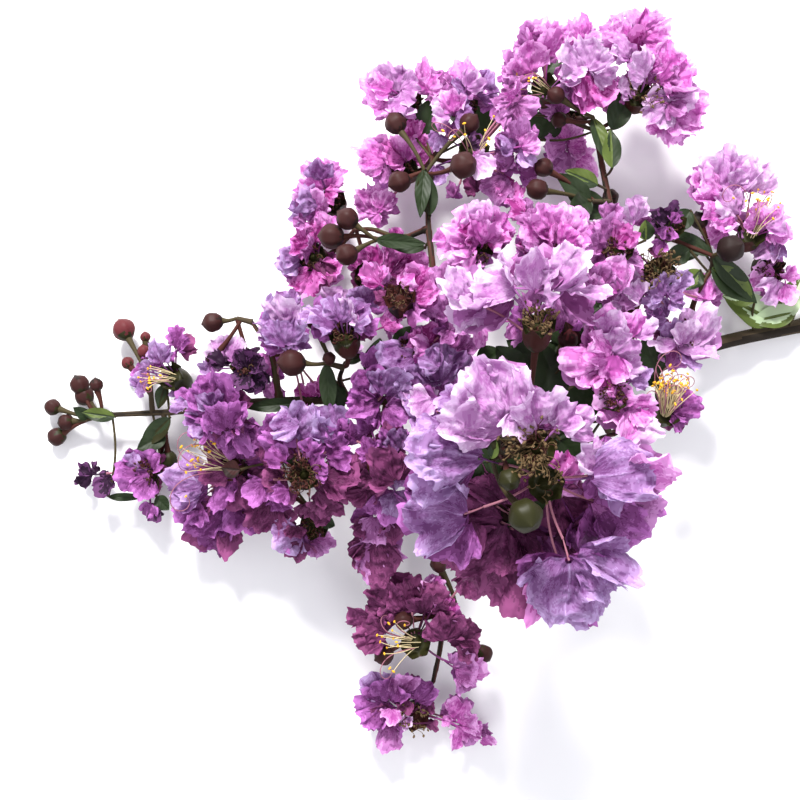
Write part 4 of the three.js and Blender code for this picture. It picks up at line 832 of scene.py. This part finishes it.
def turned(bag, heights, radii, at, axis, paint, sides, shape=(0, 0)):
    """A turned piece. Shape is what each point has more of: radius and height."""
    axis = unit(axis)
    side = square_to(TURNED_SIDE, axis)
    spokes = circle(around(sides), side, np.cross(axis, side))
    r = np.asarray(radii, dtype=float)[:, None] * np.ones(sides) + shape[0]
    h = np.asarray(heights, dtype=float)[:, None] * np.ones(sides) + shape[1]
    bag.grid(np.asarray(at) + r[..., None] * spokes + h[..., None] * axis, paint, closed=True)


def waves(rng, x, y, count, low, high):
    """Uneven ripples over the plane, between about -1 and 1, of pitches from low to high."""
    total = np.zeros(np.broadcast(x, y).shape)
    for _ in range(count):
        pitch, turn, phase = rng.uniform(low, high), rng.uniform(0, math.pi), rng.uniform(0, 6.28)
        total += np.sin(pitch * (x * math.cos(turn) + y * math.sin(turn)) + phase)
    return total / math.sqrt(count)


# ---------- limbs ----------

SPAN_POINTS, BARK_POINTS = 12, 24  # along each span of a limb: as the solids have, and for the bark
MAIN_SIDES, SIDE_SIDES = 18, 12
COLLAR_RINGS, COLLAR = 4, 1.25  # a side stem's foot is this much thicker
CUT_EDGE = 0.96  # the main stem's cut end, against its radius
RIPPLE = 0.05  # of the bark, as a share of the radius
RING_STEP = 0.45  # from ring to ring of the bark, in the units of its ripple
NODE_HEIGHT, NODE_SPACING, NODE_LENGTH = 0.16, 11, 0.35  # of the swellings where leaves once grew

lines = {}  # each limb's points and radii, for what grows on it


def foot_on(limb, spot):
    """The solids' rule for where something leaves a limb, and which way."""
    samples, radii = lines[limb]
    i = int(np.argmin(np.linalg.norm(samples - spot, axis=1)))
    radius = radii[0] + (radii[1] - radii[0]) * i / (len(samples) - 1)
    away = np.asarray(spot, dtype=float) - samples[i]
    if i < len(samples) - 1:
        along = unit(samples[i + 1] - samples[i])
        away = away - along * np.dot(away, along)
    away = unit(away)
    return samples[i] + away * radius, away, samples[i]


def build_limbs():
    """The stems, with the bark's relief, and the flat cut that ends the main one."""
    bag = Bag()
    for number, (name, (parent, radii, points)) in enumerate(LIMBS.items()):
        rng = np.random.default_rng(LIMB_SEED + number)
        points = [np.array(p, dtype=float) for p in points]
        spans = len(points) - 1
        if parent:
            points[0], _, inner = foot_on(parent, points[1])
        lines[name] = (smooth_path(points, spans * SPAN_POINTS), radii)
        path = smooth_path(points, spans * BARK_POINTS)
        if parent:
            path = np.vstack([inner[None], path])
        count = len(path)
        radius = np.linspace(radii[0], radii[1], count)
        if parent:
            radius[:COLLAR_RINGS] *= COLLAR
        else:
            radius[0] *= CUT_EDGE
        sides = SIDE_SIDES if parent else MAIN_SIDES
        along = np.linspace(0, count * RING_STEP, count)[:, None]
        angle = around(sides)[None]
        ripple = waves(rng, 3 * np.cos(angle) + along * 0.1, 3 * np.sin(angle), 5, 0.6, 2.4)
        past_node = (along + rng.uniform(0, 9)) % NODE_SPACING - NODE_SPACING / 2
        relief = 1 + RIPPLE * ripple + NODE_HEIGHT * np.exp(-(past_node**2) / NODE_LENGTH)
        stripe = waves(rng, 2 * np.cos(angle) + along * 0.12, 2 * np.sin(angle), 4, 0.5, 1.6)[:-1]
        dark, green = PAINT["bark_dark"], PAINT["stalk_green"]
        mid = PAINT["stalk_red" if parent else "bark"]
        paint = np.where(stripe < -0.5, dark, np.where(stripe > 0.7, green, mid))
        tube(bag, path, radius, sides, paint, relief)
        if not parent:
            tangent = unit(path[1] - path[0])
            side = square_to(TUBE_SIDE, tangent)
            ring = circle(around(sides), side, np.cross(tangent, side))
            cap = radii[0] * np.linspace(CUT_EDGE, 0.02, 5)[:, None, None]
            bag.grid(path[0] + cap * ring[None], green, closed=True)
    bag.piece("stems", "bark", list(LIMBS))


# ---------- buds, cups, stamens and leaves ----------

BUD_ROWS, BUD_SIDES = 15, 24
STALK_ROWS, STALK_SIDES, STALK_SAG = 10, 8, 0.06
BUD_STALK, LEAF_STALK, PETAL_STALK = 0.5, 0.32, 0.26  # their radii
TEETH = 6  # of a cup, and the ridges of a bud
CUP_SIDES = 36
CUP_WAIST = 0.86  # the bell's radius against the solid's; its teeth open wider
NOTCH = 0.34  # between the teeth of a cup, as a share of its height
# Two paints for each kind of cup: the first covers most of it.
CALYX = {
    "maroon": ("calyx_maroon", "calyx_olive"),
    "olive": ("calyx_olive", "calyx_olive"),
    "dark": ("bud_dark", "calyx_maroon"),
}
# Three paints for each kind of old stamens, dealt in turn.
THREADS = {
    "dried": ("dried", "dried", "calyx_maroon"),
    "dark": ("calyx_maroon", "bud_dark", "dried"),
}
SHORT_TUFT = (9, "dark", (0, 0), 2.4)  # the stamens of a bloom whose cup is hidden
HOOK_EVERY = 6  # fresh threads
THREAD_ROWS, HOOK_ROWS = 9, 24
THREAD_RADIUS, HOOK_RADIUS, DRIED_RADIUS = 0.11, 0.15, 0.13
HOOK_LENGTH, HOOK_TURN = 2.5, 5.5  # an outer thread, against an inner one's reach, and its curl
LEAF_ROWS, LEAF_COLS = 30, 17
MIDRIB_WIDTH = 0.07  # as a share of the leaf's half width


def bud(bag, centre, radius, start, kind, rng):
    """A round bud with six faint ridges and a small point."""
    t = np.linspace(0, math.pi, BUD_ROWS)
    r = radius * np.sin(t) * (1 - 0.10 * np.cos(t))
    r[0], r[-1] = 0.12 * radius, 0.02 * radius
    h = -radius * 1.02 * np.cos(t)
    h[-3:] += np.array([0.02, 0.08, 0.22]) * radius
    angle = around(BUD_SIDES)[None]
    ridge = 0.05 * np.cos(TEETH * angle) + 0.02 * rng.normal(size=(BUD_ROWS, 1))
    ridge = ridge * radius * np.sin(t)[:, None]
    level = np.linspace(0, 1, BUD_ROWS - 1)[:, None] + 0.06 * np.cos(TEETH * angle + 1)
    level = level - 0.1 * waves(rng, 3 * np.cos(angle), 3 * np.sin(angle) + 4 * level, 6, 0.9, 3)
    level = level + rng.uniform(-0.12, 0.12, (BUD_ROWS - 1, BUD_SIDES))
    top, body, low = (PAINT[name] for name in kind)
    # Where it is darker, the paint by the stalk, broken into patches, is painted shade on that side of the
    # bud.
    paint = np.where(level > 0.78, top, np.where(level > 0.22, body, low))
    turned(bag, h, r, centre, np.asarray(centre) - start, paint, BUD_SIDES, (ridge, 0))


def stalk(bag, start, end, radius, paint, rng, swell=1.5):
    """A slightly bowed stalk that swells towards its end."""
    start, end = np.asarray(start, dtype=float), np.asarray(end, dtype=float)
    length = np.linalg.norm(end - start)
    bow = square_to(rng.normal(size=3), unit(end - start)) * length * STALK_SAG
    t = np.linspace(0, 1, STALK_ROWS)[:, None]
    path = start + (end - start) * t + bow * np.sin(math.pi * t)
    tube(bag, path, radius * (1 + (swell - 1) * t[:, 0] ** 4), STALK_SIDES, paint)


def cup(bag, at, face, kind, rng):
    """A bell with six teeth that open like a star, and the ovary inside it."""
    angle = around(CUP_SIDES)[None]
    outer_h = np.array([-1.0, -0.97, -0.88, -0.7, -0.5, -0.3, -0.12, 0.0, 0.14, 0.3])
    outer_r = np.array([0.2, 0.32, 0.55, 0.82, 0.98, 1.02, 1.0, 1.02, 1.1, 1.22])
    inner_h = np.array([0.3, 0.1, -0.1, -0.2, -0.12, 0.02, 0.1])
    inner_r = np.array([1.18, 1.0, 0.84, 0.6, 0.44, 0.26, 0.03])
    lip = np.array([1, 0.5, 0.1, 0, 0, 0, 0])[:, None]
    between = 1 - np.abs(((angle * TEETH / (2 * math.pi)) % 1) * 2 - 1)
    rows = np.arange(len(outer_h))[:, None]
    notch = np.clip((rows - 6) / 3, 0, 1) * between
    ribs = 0.09 * np.cos(TEETH * angle) * np.sin(np.linspace(0.3, 3, len(outer_h)))[:, None]
    first, second = (PAINT[name] for name in CALYX[kind or "maroon"])
    patch = waves(rng, 2 * np.cos(angle), 2 * np.sin(angle) + rows[:-1] * 0.4, 4, 0.7, 2)
    wide = CUP_RADIUS * CUP_WAIST
    outside = (ribs - notch * 0.06 * CUP_RADIUS, -notch * NOTCH * CUP_HEIGHT)
    turned(bag, outer_h * CUP_HEIGHT, outer_r * wide, at, face, np.where(patch > 0.55, second, first),
           CUP_SIDES, outside)
    inside = (0, -lip * between * NOTCH * CUP_HEIGHT)
    turned(bag, inner_h * CUP_HEIGHT, inner_r * wide, at, face, second, CUP_SIDES, inside)


def stamens(bag, at, face, spec, rng):
    """Fresh ones stand in a loose brush with golden anthers, and the long outer ones end in a hook.

    Dried ones are a brown tangle.
    """
    count, kind, lean, length = spec
    face = unit(face)
    lean = np.array([lean[0], lean[1], 0.0])
    fresh = kind == "fresh"
    t = np.linspace(0, 1, THREAD_ROWS)[:, None]
    for k in range(count if fresh else 3 * count):
        hooked = fresh and k % HOOK_EVERY == 0
        out = square_to(rng.normal(size=3), face)
        spread = rng.uniform(0.1, 0.55) if fresh else rng.uniform(0.25, 0.9)
        way = unit(face * rng.uniform(0.45, 0.9) + out * spread + lean * rng.uniform(0.6, 1.4))
        reach = length * rng.uniform(0.65, 1.15)
        bend = square_to(rng.normal(size=3), way) * reach * rng.uniform(0.1, 0.35)
        foot = at + out * 1.3
        path = foot + way * reach * t + bend * t**2 + face * 0.12 * reach * np.sin(2.6 * t)
        if hooked:
            turn = HOOK_TURN * np.linspace(0, 1, HOOK_ROWS)[:, None] ** 3
            heading = way * np.cos(turn) + square_to(bend, way) * np.sin(turn)
            path = foot + np.cumsum(heading, axis=0) * HOOK_LENGTH * reach / HOOK_ROWS
        if fresh:
            colour = PAINT["claw" if hooked else "filament"]
            tip, radius = PAINT["anther"], HOOK_RADIUS if hooked else THREAD_RADIUS
        else:
            curl = square_to(rng.normal(size=3), way)
            turn = 8 * t + rng.uniform(0, 6)
            path = path + t * 0.8 * (curl * np.sin(turn) + np.cross(way, curl) * np.cos(turn))
            colour, tip, radius = PAINT[THREADS[kind][k % 3]], PAINT[THREADS[kind][0]], DRIED_RADIUS
        tube(bag, path, np.linspace(radius, radius * 0.7, len(path)), 4, colour)
        size = rng.uniform(0.42, 0.6)
        arc = np.linspace(0, math.pi, 5)
        across = square_to(way, unit(path[-1] - path[-2]))
        turned(bag, -np.cos(arc) * size, np.sin(arc) * size * 0.55 + 0.01, path[-1], across, tip, 6)


def leaf(bag, start, tip, half, kind, rng):
    """A blade folded along its midrib, with side veins, a wavy margin and one lit half."""
    start, tip = np.asarray(start, dtype=float), np.asarray(tip, dtype=float)
    along = unit(tip - start)
    length = np.linalg.norm(tip - start)
    side = unit(np.cross([0, 0, 1.0], along))
    up = np.cross(along, side)
    t = np.linspace(0, 1, LEAF_ROWS)[:, None]
    w = np.linspace(-1, 1, LEAF_COLS)[None]
    shape = np.maximum(np.sin(math.pi * t**0.82), 0) ** 0.8 * (1 - 0.12 * t)
    width = half * 1.12 * np.maximum(shape, 0.06 * (t < 0.5) + 0.005)
    fold = 0.30 * half * np.abs(w) * np.sin(math.pi * t)
    vein = 0.05 * np.sin(34 * (t - 0.35 * np.abs(w)) + 1) * (1 - np.abs(w) ** 4)
    ripple = 0.12 * half * np.sin(11 * t + rng.uniform(0, 6)) * w**2
    groove = 0.12 * np.exp(-((w / MIDRIB_WIDTH) ** 2))
    rise = fold + vein + ripple - 0.06 * length * t**2 - groove
    midrib = start + (along * length) * t[..., None]
    points = midrib + side * (width * w)[..., None] + up * rise[..., None]
    body, streak = (PAINT[name] for name in kind)
    t, w = t[:-1], (w[:, 1:] + w[:, :-1]) / 2
    lit = w > 0.3 + 0.3 * np.sin(5 * t + rng.uniform(0, 6))
    bag.grid(points, np.where((np.abs(w) < MIDRIB_WIDTH) | lit, streak, body))


# ---------- petals ----------

LATTICE = 64  # points along each side of the noise, before it repeats
SHORT_FAN = 9.0  # a shorter petal has a claw in its own tone
SMALLEST, LARGEST = 0.55, 1.8  # of the folds, against those of a petal of that length
COARSE = 0.55  # the fineness of a shaded petal's mesh
CLAW_OUT, CLAW_DEEP = 0.6, 0.2  # where a claw starts, as shares of its cup's radius and height


class Crumple:
    """Smooth uneven noise over a plane, the same every time for a seed."""

    def __init__(self, rng):
        self.lattice = rng.uniform(-1, 1, (LATTICE, LATTICE))

    def __call__(self, x, y, pitch, octaves=1):
        total = 0.0
        for k in range(octaves):
            u, v = x / pitch * 2**k + 17.3 * k + 31, y / pitch * 2**k + 9.1 * k + 31
            i, j = np.floor(u).astype(int), np.floor(v).astype(int)
            a, b = u - i, v - j
            a, b = a * a * (3 - 2 * a), b * b * (3 - 2 * b)
            i, j, right, above = i % LATTICE, j % LATTICE, (i + 1) % LATTICE, (j + 1) % LATTICE
            low = self.lattice[i, j] * (1 - a) + self.lattice[right, j] * a
            high = self.lattice[i, above] * (1 - a) + self.lattice[right, above] * a
            total = total + 0.5**k * (low * (1 - b) + high * b)
        return total


def petal(bag, root, hub, tip, up, half, roll, tone, seed, fine=1.0):
    """A thin claw to the hub, then a limb that fans out to the tip: folded, crumpled and frilled."""
    rng = np.random.default_rng(seed)
    noise = Crumple(rng)
    shades = TONES[tone][0]
    fan = np.linalg.norm(tip - hub)
    ahead = (tip - hub) / fan
    up = square_to(np.asarray(up, dtype=float), ahead)
    side = np.cross(up, ahead)
    beside = unit(side * math.cos(roll) + up * math.sin(roll))
    over = np.cross(ahead, beside)
    size = min(LARGEST, max(SMALLEST, fan / SHORT_FAN))
    if root is not None:
        t = np.linspace(0, 1, 8)[:, None]
        bow = up * 0.08 * np.linalg.norm(hub - root) * np.sin(math.pi * t)
        path = root + (hub + ahead * fan * 0.06 - root) * t + bow
        shows = fan > SHORT_FAN and half > NARROW
        tube(bag, path, np.linspace(0.15, 0.3, 8), 5, PAINT["claw" if shows else tone + "0"])

    # Every point has its share of the way out, its angle, and its place along the rim, in mm.
    cols = int(max(24, 2 * half * fan / RIM_STEP * fine))
    rows = int(max(9, fan / RADIAL_STEP * fine))
    s = np.linspace(0.05, 1, rows)[:, None] ** 0.8
    theta = min(1.4, 1.85 * half) * np.linspace(-1, 1, cols)[None]
    arc = fan * theta
    flow = arc * (0.45 + 0.55 * s) + 0.9 * noise(arc * 0.5, 0.3 * fan * s, 2.2)
    along = 0.45 * fan * s

    # The outline: a limb as wide as long is a circle through its hub. Its rim is lobed and frilled.
    roundness = (0.55 / math.sin(half)) ** 2.6
    rim = 0.96 * np.cos(theta) ** roundness + 0.13 * noise(arc, 0 * s + 3, 0.34 * fan)
    lobes = 0.85 * size * noise(arc, 0 * s + 11, 2.7 * math.sqrt(size)) * s**2
    frill = 0.35 * noise(arc, 0 * s + 23, 0.9) * s**3 + 0.55 * noise(arc, 0.4 * s, 0.5) * s**6
    rho = fan * rim * s + lobes + frill * min(1.0, 0.4 + fan / 14)
    x, y = rho * np.cos(theta), rho * np.sin(theta)

    # The heights: broad folds, pleats that grow outwards, creases all over, veins and a midrib.
    fold = 0.2 * fan * noise(flow, along, 0.42 * fan) * s**1.1
    pleat = 0.8 * size * noise(flow + 60, along + 9, 1.5 * size) * s**1.3
    pleat = pleat + 0.5 * noise(flow + 40, along, 0.9) * s**2 + 0.8 * noise(arc + 70, s, 1.1) * s**5
    crease = 0.8 * size * (0.5 - np.abs(noise(x + 5, y, 1.9 * size)))
    crease = crease + 0.55 * (0.5 - np.abs(noise(x, y + 7, 1.2)))
    vein = 0.5 - np.abs(noise(flow + 5, 0.5 * along, 0.75))
    seen_behind = root is not None and fan > 10 and tone == "l"
    midrib = np.exp(-((y / 0.3) ** 2)) * (1 - s) * seen_behind
    z = fold + pleat + crease + 0.4 * vein * s + 0.3 * midrib + rng.uniform(-0.25, 0.2) * rho**2 / fan
    x = x + 0.09 * fan * s**2 * noise(flow + 21, along, 0.2 * fan)
    y = y + 0.12 * fan * s**2 * noise(flow + 33, along, 0.18 * fan)
    points = hub + x[..., None] * ahead + y[..., None] * beside + z[..., None] * over

    # The paint: paler outwards, and paler on the rim, partly as the petal's own paler edge and partly as
    # painted highlight. What stands up in folds, pleats and creases gets painted highlight and where they
    # sink gets painted shade; veins and the midrib make it paler, and a random tone varies it.
    value = 0.05 + 0.4 * s + 0.26 * np.clip(s * 5 - 4, 0, 1) + 0.9 * fold / fan + 0.3 * pleat / size
    value = value + 0.2 * crease / size + 0.3 * vein + 0.2 * noise(x, y + 50, 3.4, 3) + 0.6 * midrib
    level = (value[1:, 1:] + value[:-1, 1:] + value[1:, :-1] + value[:-1, :-1]) / 4
    level = level + rng.uniform(-0.11, 0.11, (rows - 1, cols - 1))
    level = (level * shades).astype(int)
    bag.grid(points, PAINT[tone + "0"] + np.clip(level, 0, shades - 1))


def swung(reach, turn):
    """The same reach, turned about the vertical."""
    x, y, z = reach
    return np.array([
        x * math.cos(turn) - y * math.sin(turn), x * math.sin(turn) + y * math.cos(turn), z,
    ])


def dress(bag, number, at, face, petals):
    """A bloom's petals, and behind each of them a shaded one that fills the gaps."""
    rng = np.random.default_rng(DRESS_SEED + number)
    floor = np.array([-np.inf, -np.inf, LOWEST_PETAL])
    whole = None
    for k, (hub, tip, half, roll, tone) in enumerate(petals):
        hub, tip = seen(hub), seen(tip)
        root = at + unit(hub - at) * CUP_RADIUS * CLAW_OUT - face * CUP_HEIGHT * CLAW_DEEP
        if half > NARROW or whole is None or np.linalg.norm(hub - whole) > LONGEST_CLAW:
            whole = hub
        else:
            root = whole
        if np.linalg.norm(hub - root) > LONGEST_CLAW:
            node = hub + unit(root - hub) * 0.4 * LONGEST_CLAW - np.array([0, 0, 1.0])
            stalk(bag, root - face * 2, node, PETAL_STALK, PAINT["claw"], rng, 1.2)
            root = node
        seed = number * PETAL_SEEDS + k
        petal(bag, root, hub, tip, face, half, roll, tone, seed)
        reach = tip - hub
        turn = rng.choice([-1, 1]) * rng.uniform(0.35, 0.9) * min(1.0, 8 / np.linalg.norm(reach))
        reach = swung(reach, turn)
        drop = np.array([0, 0, rng.uniform(2.5, 5.0)])
        low_hub = np.maximum(hub - drop, floor)
        low_tip = np.maximum(low_hub + reach * rng.uniform(0.75, 0.95) - drop * 0.3, floor)
        low_half = min(half * 1.2, 1.3)
        petal(bag, None, low_hub, low_tip, face, low_half, -roll, SHADED[tone], seed + SHADE_SEED, COARSE)


# ---------- putting it together ----------

# The paints of a sprig's buds, at the point, round the body and by the stalk. The darker paint by the
# stalk, on the front sprig's buds and by default, is painted shade on that side of the bud.
BUD = ("bud_maroon", "bud_maroon", "bud_dark")
BUDS = {
    "sprig_tip": ("bud_dark", "bud_maroon", "calyx_olive"),
    "sprig_tip_upper": ("bud_pink", "bud_pink", "calyx_olive"),
    "sprig_under_front": ("bud_pink", "bud_maroon", "bud_maroon"),
    "sprig_tip_lower": ("calyx_olive", "calyx_olive", "calyx_olive"),
    "sprig_front": ("calyx_olive", "calyx_olive", "bud_dark"),
    "sprig_right": ("bud_dark", "bud_dark", "bud_maroon"),
    "sprig_hanging": ("bud_maroon", "bud_maroon", "calyx_olive"),
}
# The paints of a leaf, over most of it, and on its midrib and lit half.
LOOKS = {
    "dark": ("leaf", "leaf"),
    "bright": ("leaf", "leaf_light"),
    "green": ("leaf_light", "leaf"),
    "olive": ("leaf", "calyx_olive"),
    "pale": ("leaf_pale", "leaf_light"),
    # maroon: dark brown sheets in the gaps, most under the front flower, standing partly for calyces and
    # stalks and partly for painted shade between the petals
    "maroon": ("bud_maroon", "bud_dark"),
}
LEAVES = {"sprig_stem_node": "pale", "sprig_upper_right": "bright"}  # the others are dark

TWIG_STEPS, TWIG_SIDES, TWIG_RADII = 14, 9, (1.0, 0.6)
BLOOM_STALK_STEPS = 18
# A lone bud grows beside the upper hanging bloom, on a stalk of its own.
LONE_HEEL, LONE_NECK = (4, -62, 17.6), (-3, -65, 20)
LONE_BUD, LONE_RADIUS = (-4, -66, 20), 2.5


def build_sprigs():
    """The sprigs and loose leaves. Returns each sprig's hub."""
    twigs, buds, leaves = Bag(), Bag(), Bag()
    hubs = {}
    for number, (name, (limb, hub, bud_list, leaf_list)) in enumerate(SPRIGS.items()):
        rng = np.random.default_rng(SPRIG_SEED + number)
        hub = np.array(hub, dtype=float)
        foot, _, inner = foot_on(limb, hub)
        hubs[name] = hub
        path = smooth_path([inner, foot, hub], TWIG_STEPS)
        tube(twigs, path, np.linspace(*TWIG_RADII, len(path)), TWIG_SIDES, PAINT["bark"])
        for k, (x, y, z, radius) in enumerate(bud_list):
            start = hub + (foot - hub) * FORK * k / len(bud_list)
            centre = np.array([x, y, z], dtype=float)
            neck = centre + unit(start - centre) * radius * 0.85
            paint = PAINT["stalk_red" if k % 2 else "stalk_green"]
            stalk(twigs, start, neck, BUD_STALK, paint, rng, 2.0)
            bud(buds, centre, radius, start, BUDS.get(name, BUD), rng)
        for tip, half in leaf_list:
            leaf(leaves, hub, tip, half, LOOKS[LEAVES.get(name, "dark")], rng)
    rng = np.random.default_rng(LEAF_SEED)
    grown = np.concatenate([samples for samples, _ in lines.values()])
    for start, tip, half, look in LOOSE_LEAVES:
        start, tip = seen(start), seen(tip)
        nearest = grown[np.argmin(np.linalg.norm(grown - start, axis=1))]
        stalk(twigs, nearest, start, LEAF_STALK, PAINT["stalk_green"], rng, 1.2)
        leaf(leaves, start, tip, half, LOOKS[look], rng)
    twigs.piece("twigs", "leaf", list(SPRIGS))
    buds.piece("buds", "leaf")
    leaves.piece("leaves", "leaf")
    return hubs


def build_blooms(hubs):
    """The blooms: stalks, cups and stamens, and the petals, in pieces of several blooms each."""
    stalks, cups, threads = Bag(), Bag(), Bag()
    groups, bag, names = 0, Bag(), []
    for number, (name, (carrier, at, face, calyx, tuft)) in enumerate(BLOOMS.items()):
        rng = np.random.default_rng(BLOOM_SEED + number)
        at, face = np.array(at, dtype=float), unit(face)
        heel = at - face * (CUP_HEIGHT - 0.6)
        if carrier in hubs:
            way = [hubs[carrier], heel]
        else:
            behind = heel - face * 3
            foot, away, inner = foot_on(carrier, behind)
            way = [inner, foot, foot + away * 0.4 * np.linalg.norm(behind - foot), heel]
        path = smooth_path(way, BLOOM_STALK_STEPS)
        radii = 0.55 + 0.35 * np.linspace(0, 1, len(path)) ** 5
        tube(stalks, path, radii, TWIG_SIDES, PAINT["stalk_red"])
        cup(cups, at, face, calyx, rng)
        stamens(threads, at, face, tuft or SHORT_TUFT, rng)
        dress(bag, number, at, face, PLACED[name])
        names.append(name)
        if bag.count > PIECE_POINTS or number == len(BLOOMS) - 1:
            groups += 1
            bag.piece("petals_" + str(groups), "petal", [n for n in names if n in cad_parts])
            bag, names = Bag(), []
    rng = np.random.default_rng(LONE_SEED)
    stalk(stalks, LONE_HEEL, LONE_NECK, BUD_STALK, PAINT["stalk_red"], rng, 1.8)
    bud(cups, LONE_BUD, LONE_RADIUS, LONE_HEEL, BUD, rng)
    stalks.piece("stalks", "bark")
    cups.piece("cups", "leaf")
    threads.piece("stamens", "petal")


build_limbs()
build_blooms(build_sprigs())

# ---------- floor, light and camera ----------

FLOOR_REACH, FLOOR_DROP = 3.0, 0.0002  # in metres: half its side, and how far under the part it lies
AIM = (0, 0, 0.03)
# A lamp: its place, size, power and colour.
LAMPS = {
    "key": ((-0.12, 0.56, 0.52), 0.17, 12.6, (1.0, 0.98, 0.96)),
    "fill": ((0.3, -0.6, 1.3), 1.0, 6, (0.95, 0.96, 1.0)),
}
WORLD_COLOUR, WORLD_STRENGTH = (0.95, 0.95, 1.0, 1), 0.86


def plain_floor():
    """A pale floor just under the part, for the picture only."""
    mesh = bpy.data.meshes.new("floor")
    corners = [(x * FLOOR_REACH, y * FLOOR_REACH, 0) for x, y in ((-1, -1), (1, -1), (1, 1), (-1, 1))]
    mesh.from_pydata(corners, [], [(0, 1, 2, 3)])
    floor = bpy.data.objects.new("floor", mesh)
    floor.location = (0, 0, min(cad_box[0][2], 0.0) - FLOOR_DROP)
    bpy.context.scene.collection.objects.link(floor)
    look = make_material("floor", FLOOR_COLOUR, FLOOR_ROUGHNESS, FLOOR_GRAIN, FLOOR_DEPTH)
    mesh.materials.append(look)


def lamp(name, place, size, power, colour):
    """A round lamp that points at the part."""
    light = bpy.data.lights.new(name, "AREA")
    light.shape, light.size, light.energy, light.color = "DISK", size, power, colour
    thing = bpy.data.objects.new(name, light)
    thing.location = place
    thing.rotation_euler = (Vector(AIM) - Vector(place)).to_track_quat("-Z", "Y").to_euler()
    bpy.context.scene.collection.objects.link(thing)


plain_floor()
for name, setting in LAMPS.items():
    lamp(name, *setting)
world = bpy.data.worlds.new("studio")
world.use_nodes = True
sky = world.node_tree.nodes["Background"]
sky.inputs["Color"].default_value = WORLD_COLOUR
sky.inputs["Strength"].default_value = WORLD_STRENGTH
scene = bpy.context.scene
scene.world = world
scene.view_settings.view_transform = "Standard"

camera = bpy.data.cameras.new("camera")
camera.lens = CAMERA_LENS
camera.sensor_width = SENSOR
camera.clip_start, camera.clip_end = 0.01, 20
eye = bpy.data.objects.new("camera", camera)
eye.location = (-MIDDLE[0] / MM, -MIDDLE[1] / MM, (CAMERA_HEIGHT + LIFT) / MM)
scene.collection.objects.link(eye)
scene.camera = eye

bpy.context.view_layer.update()
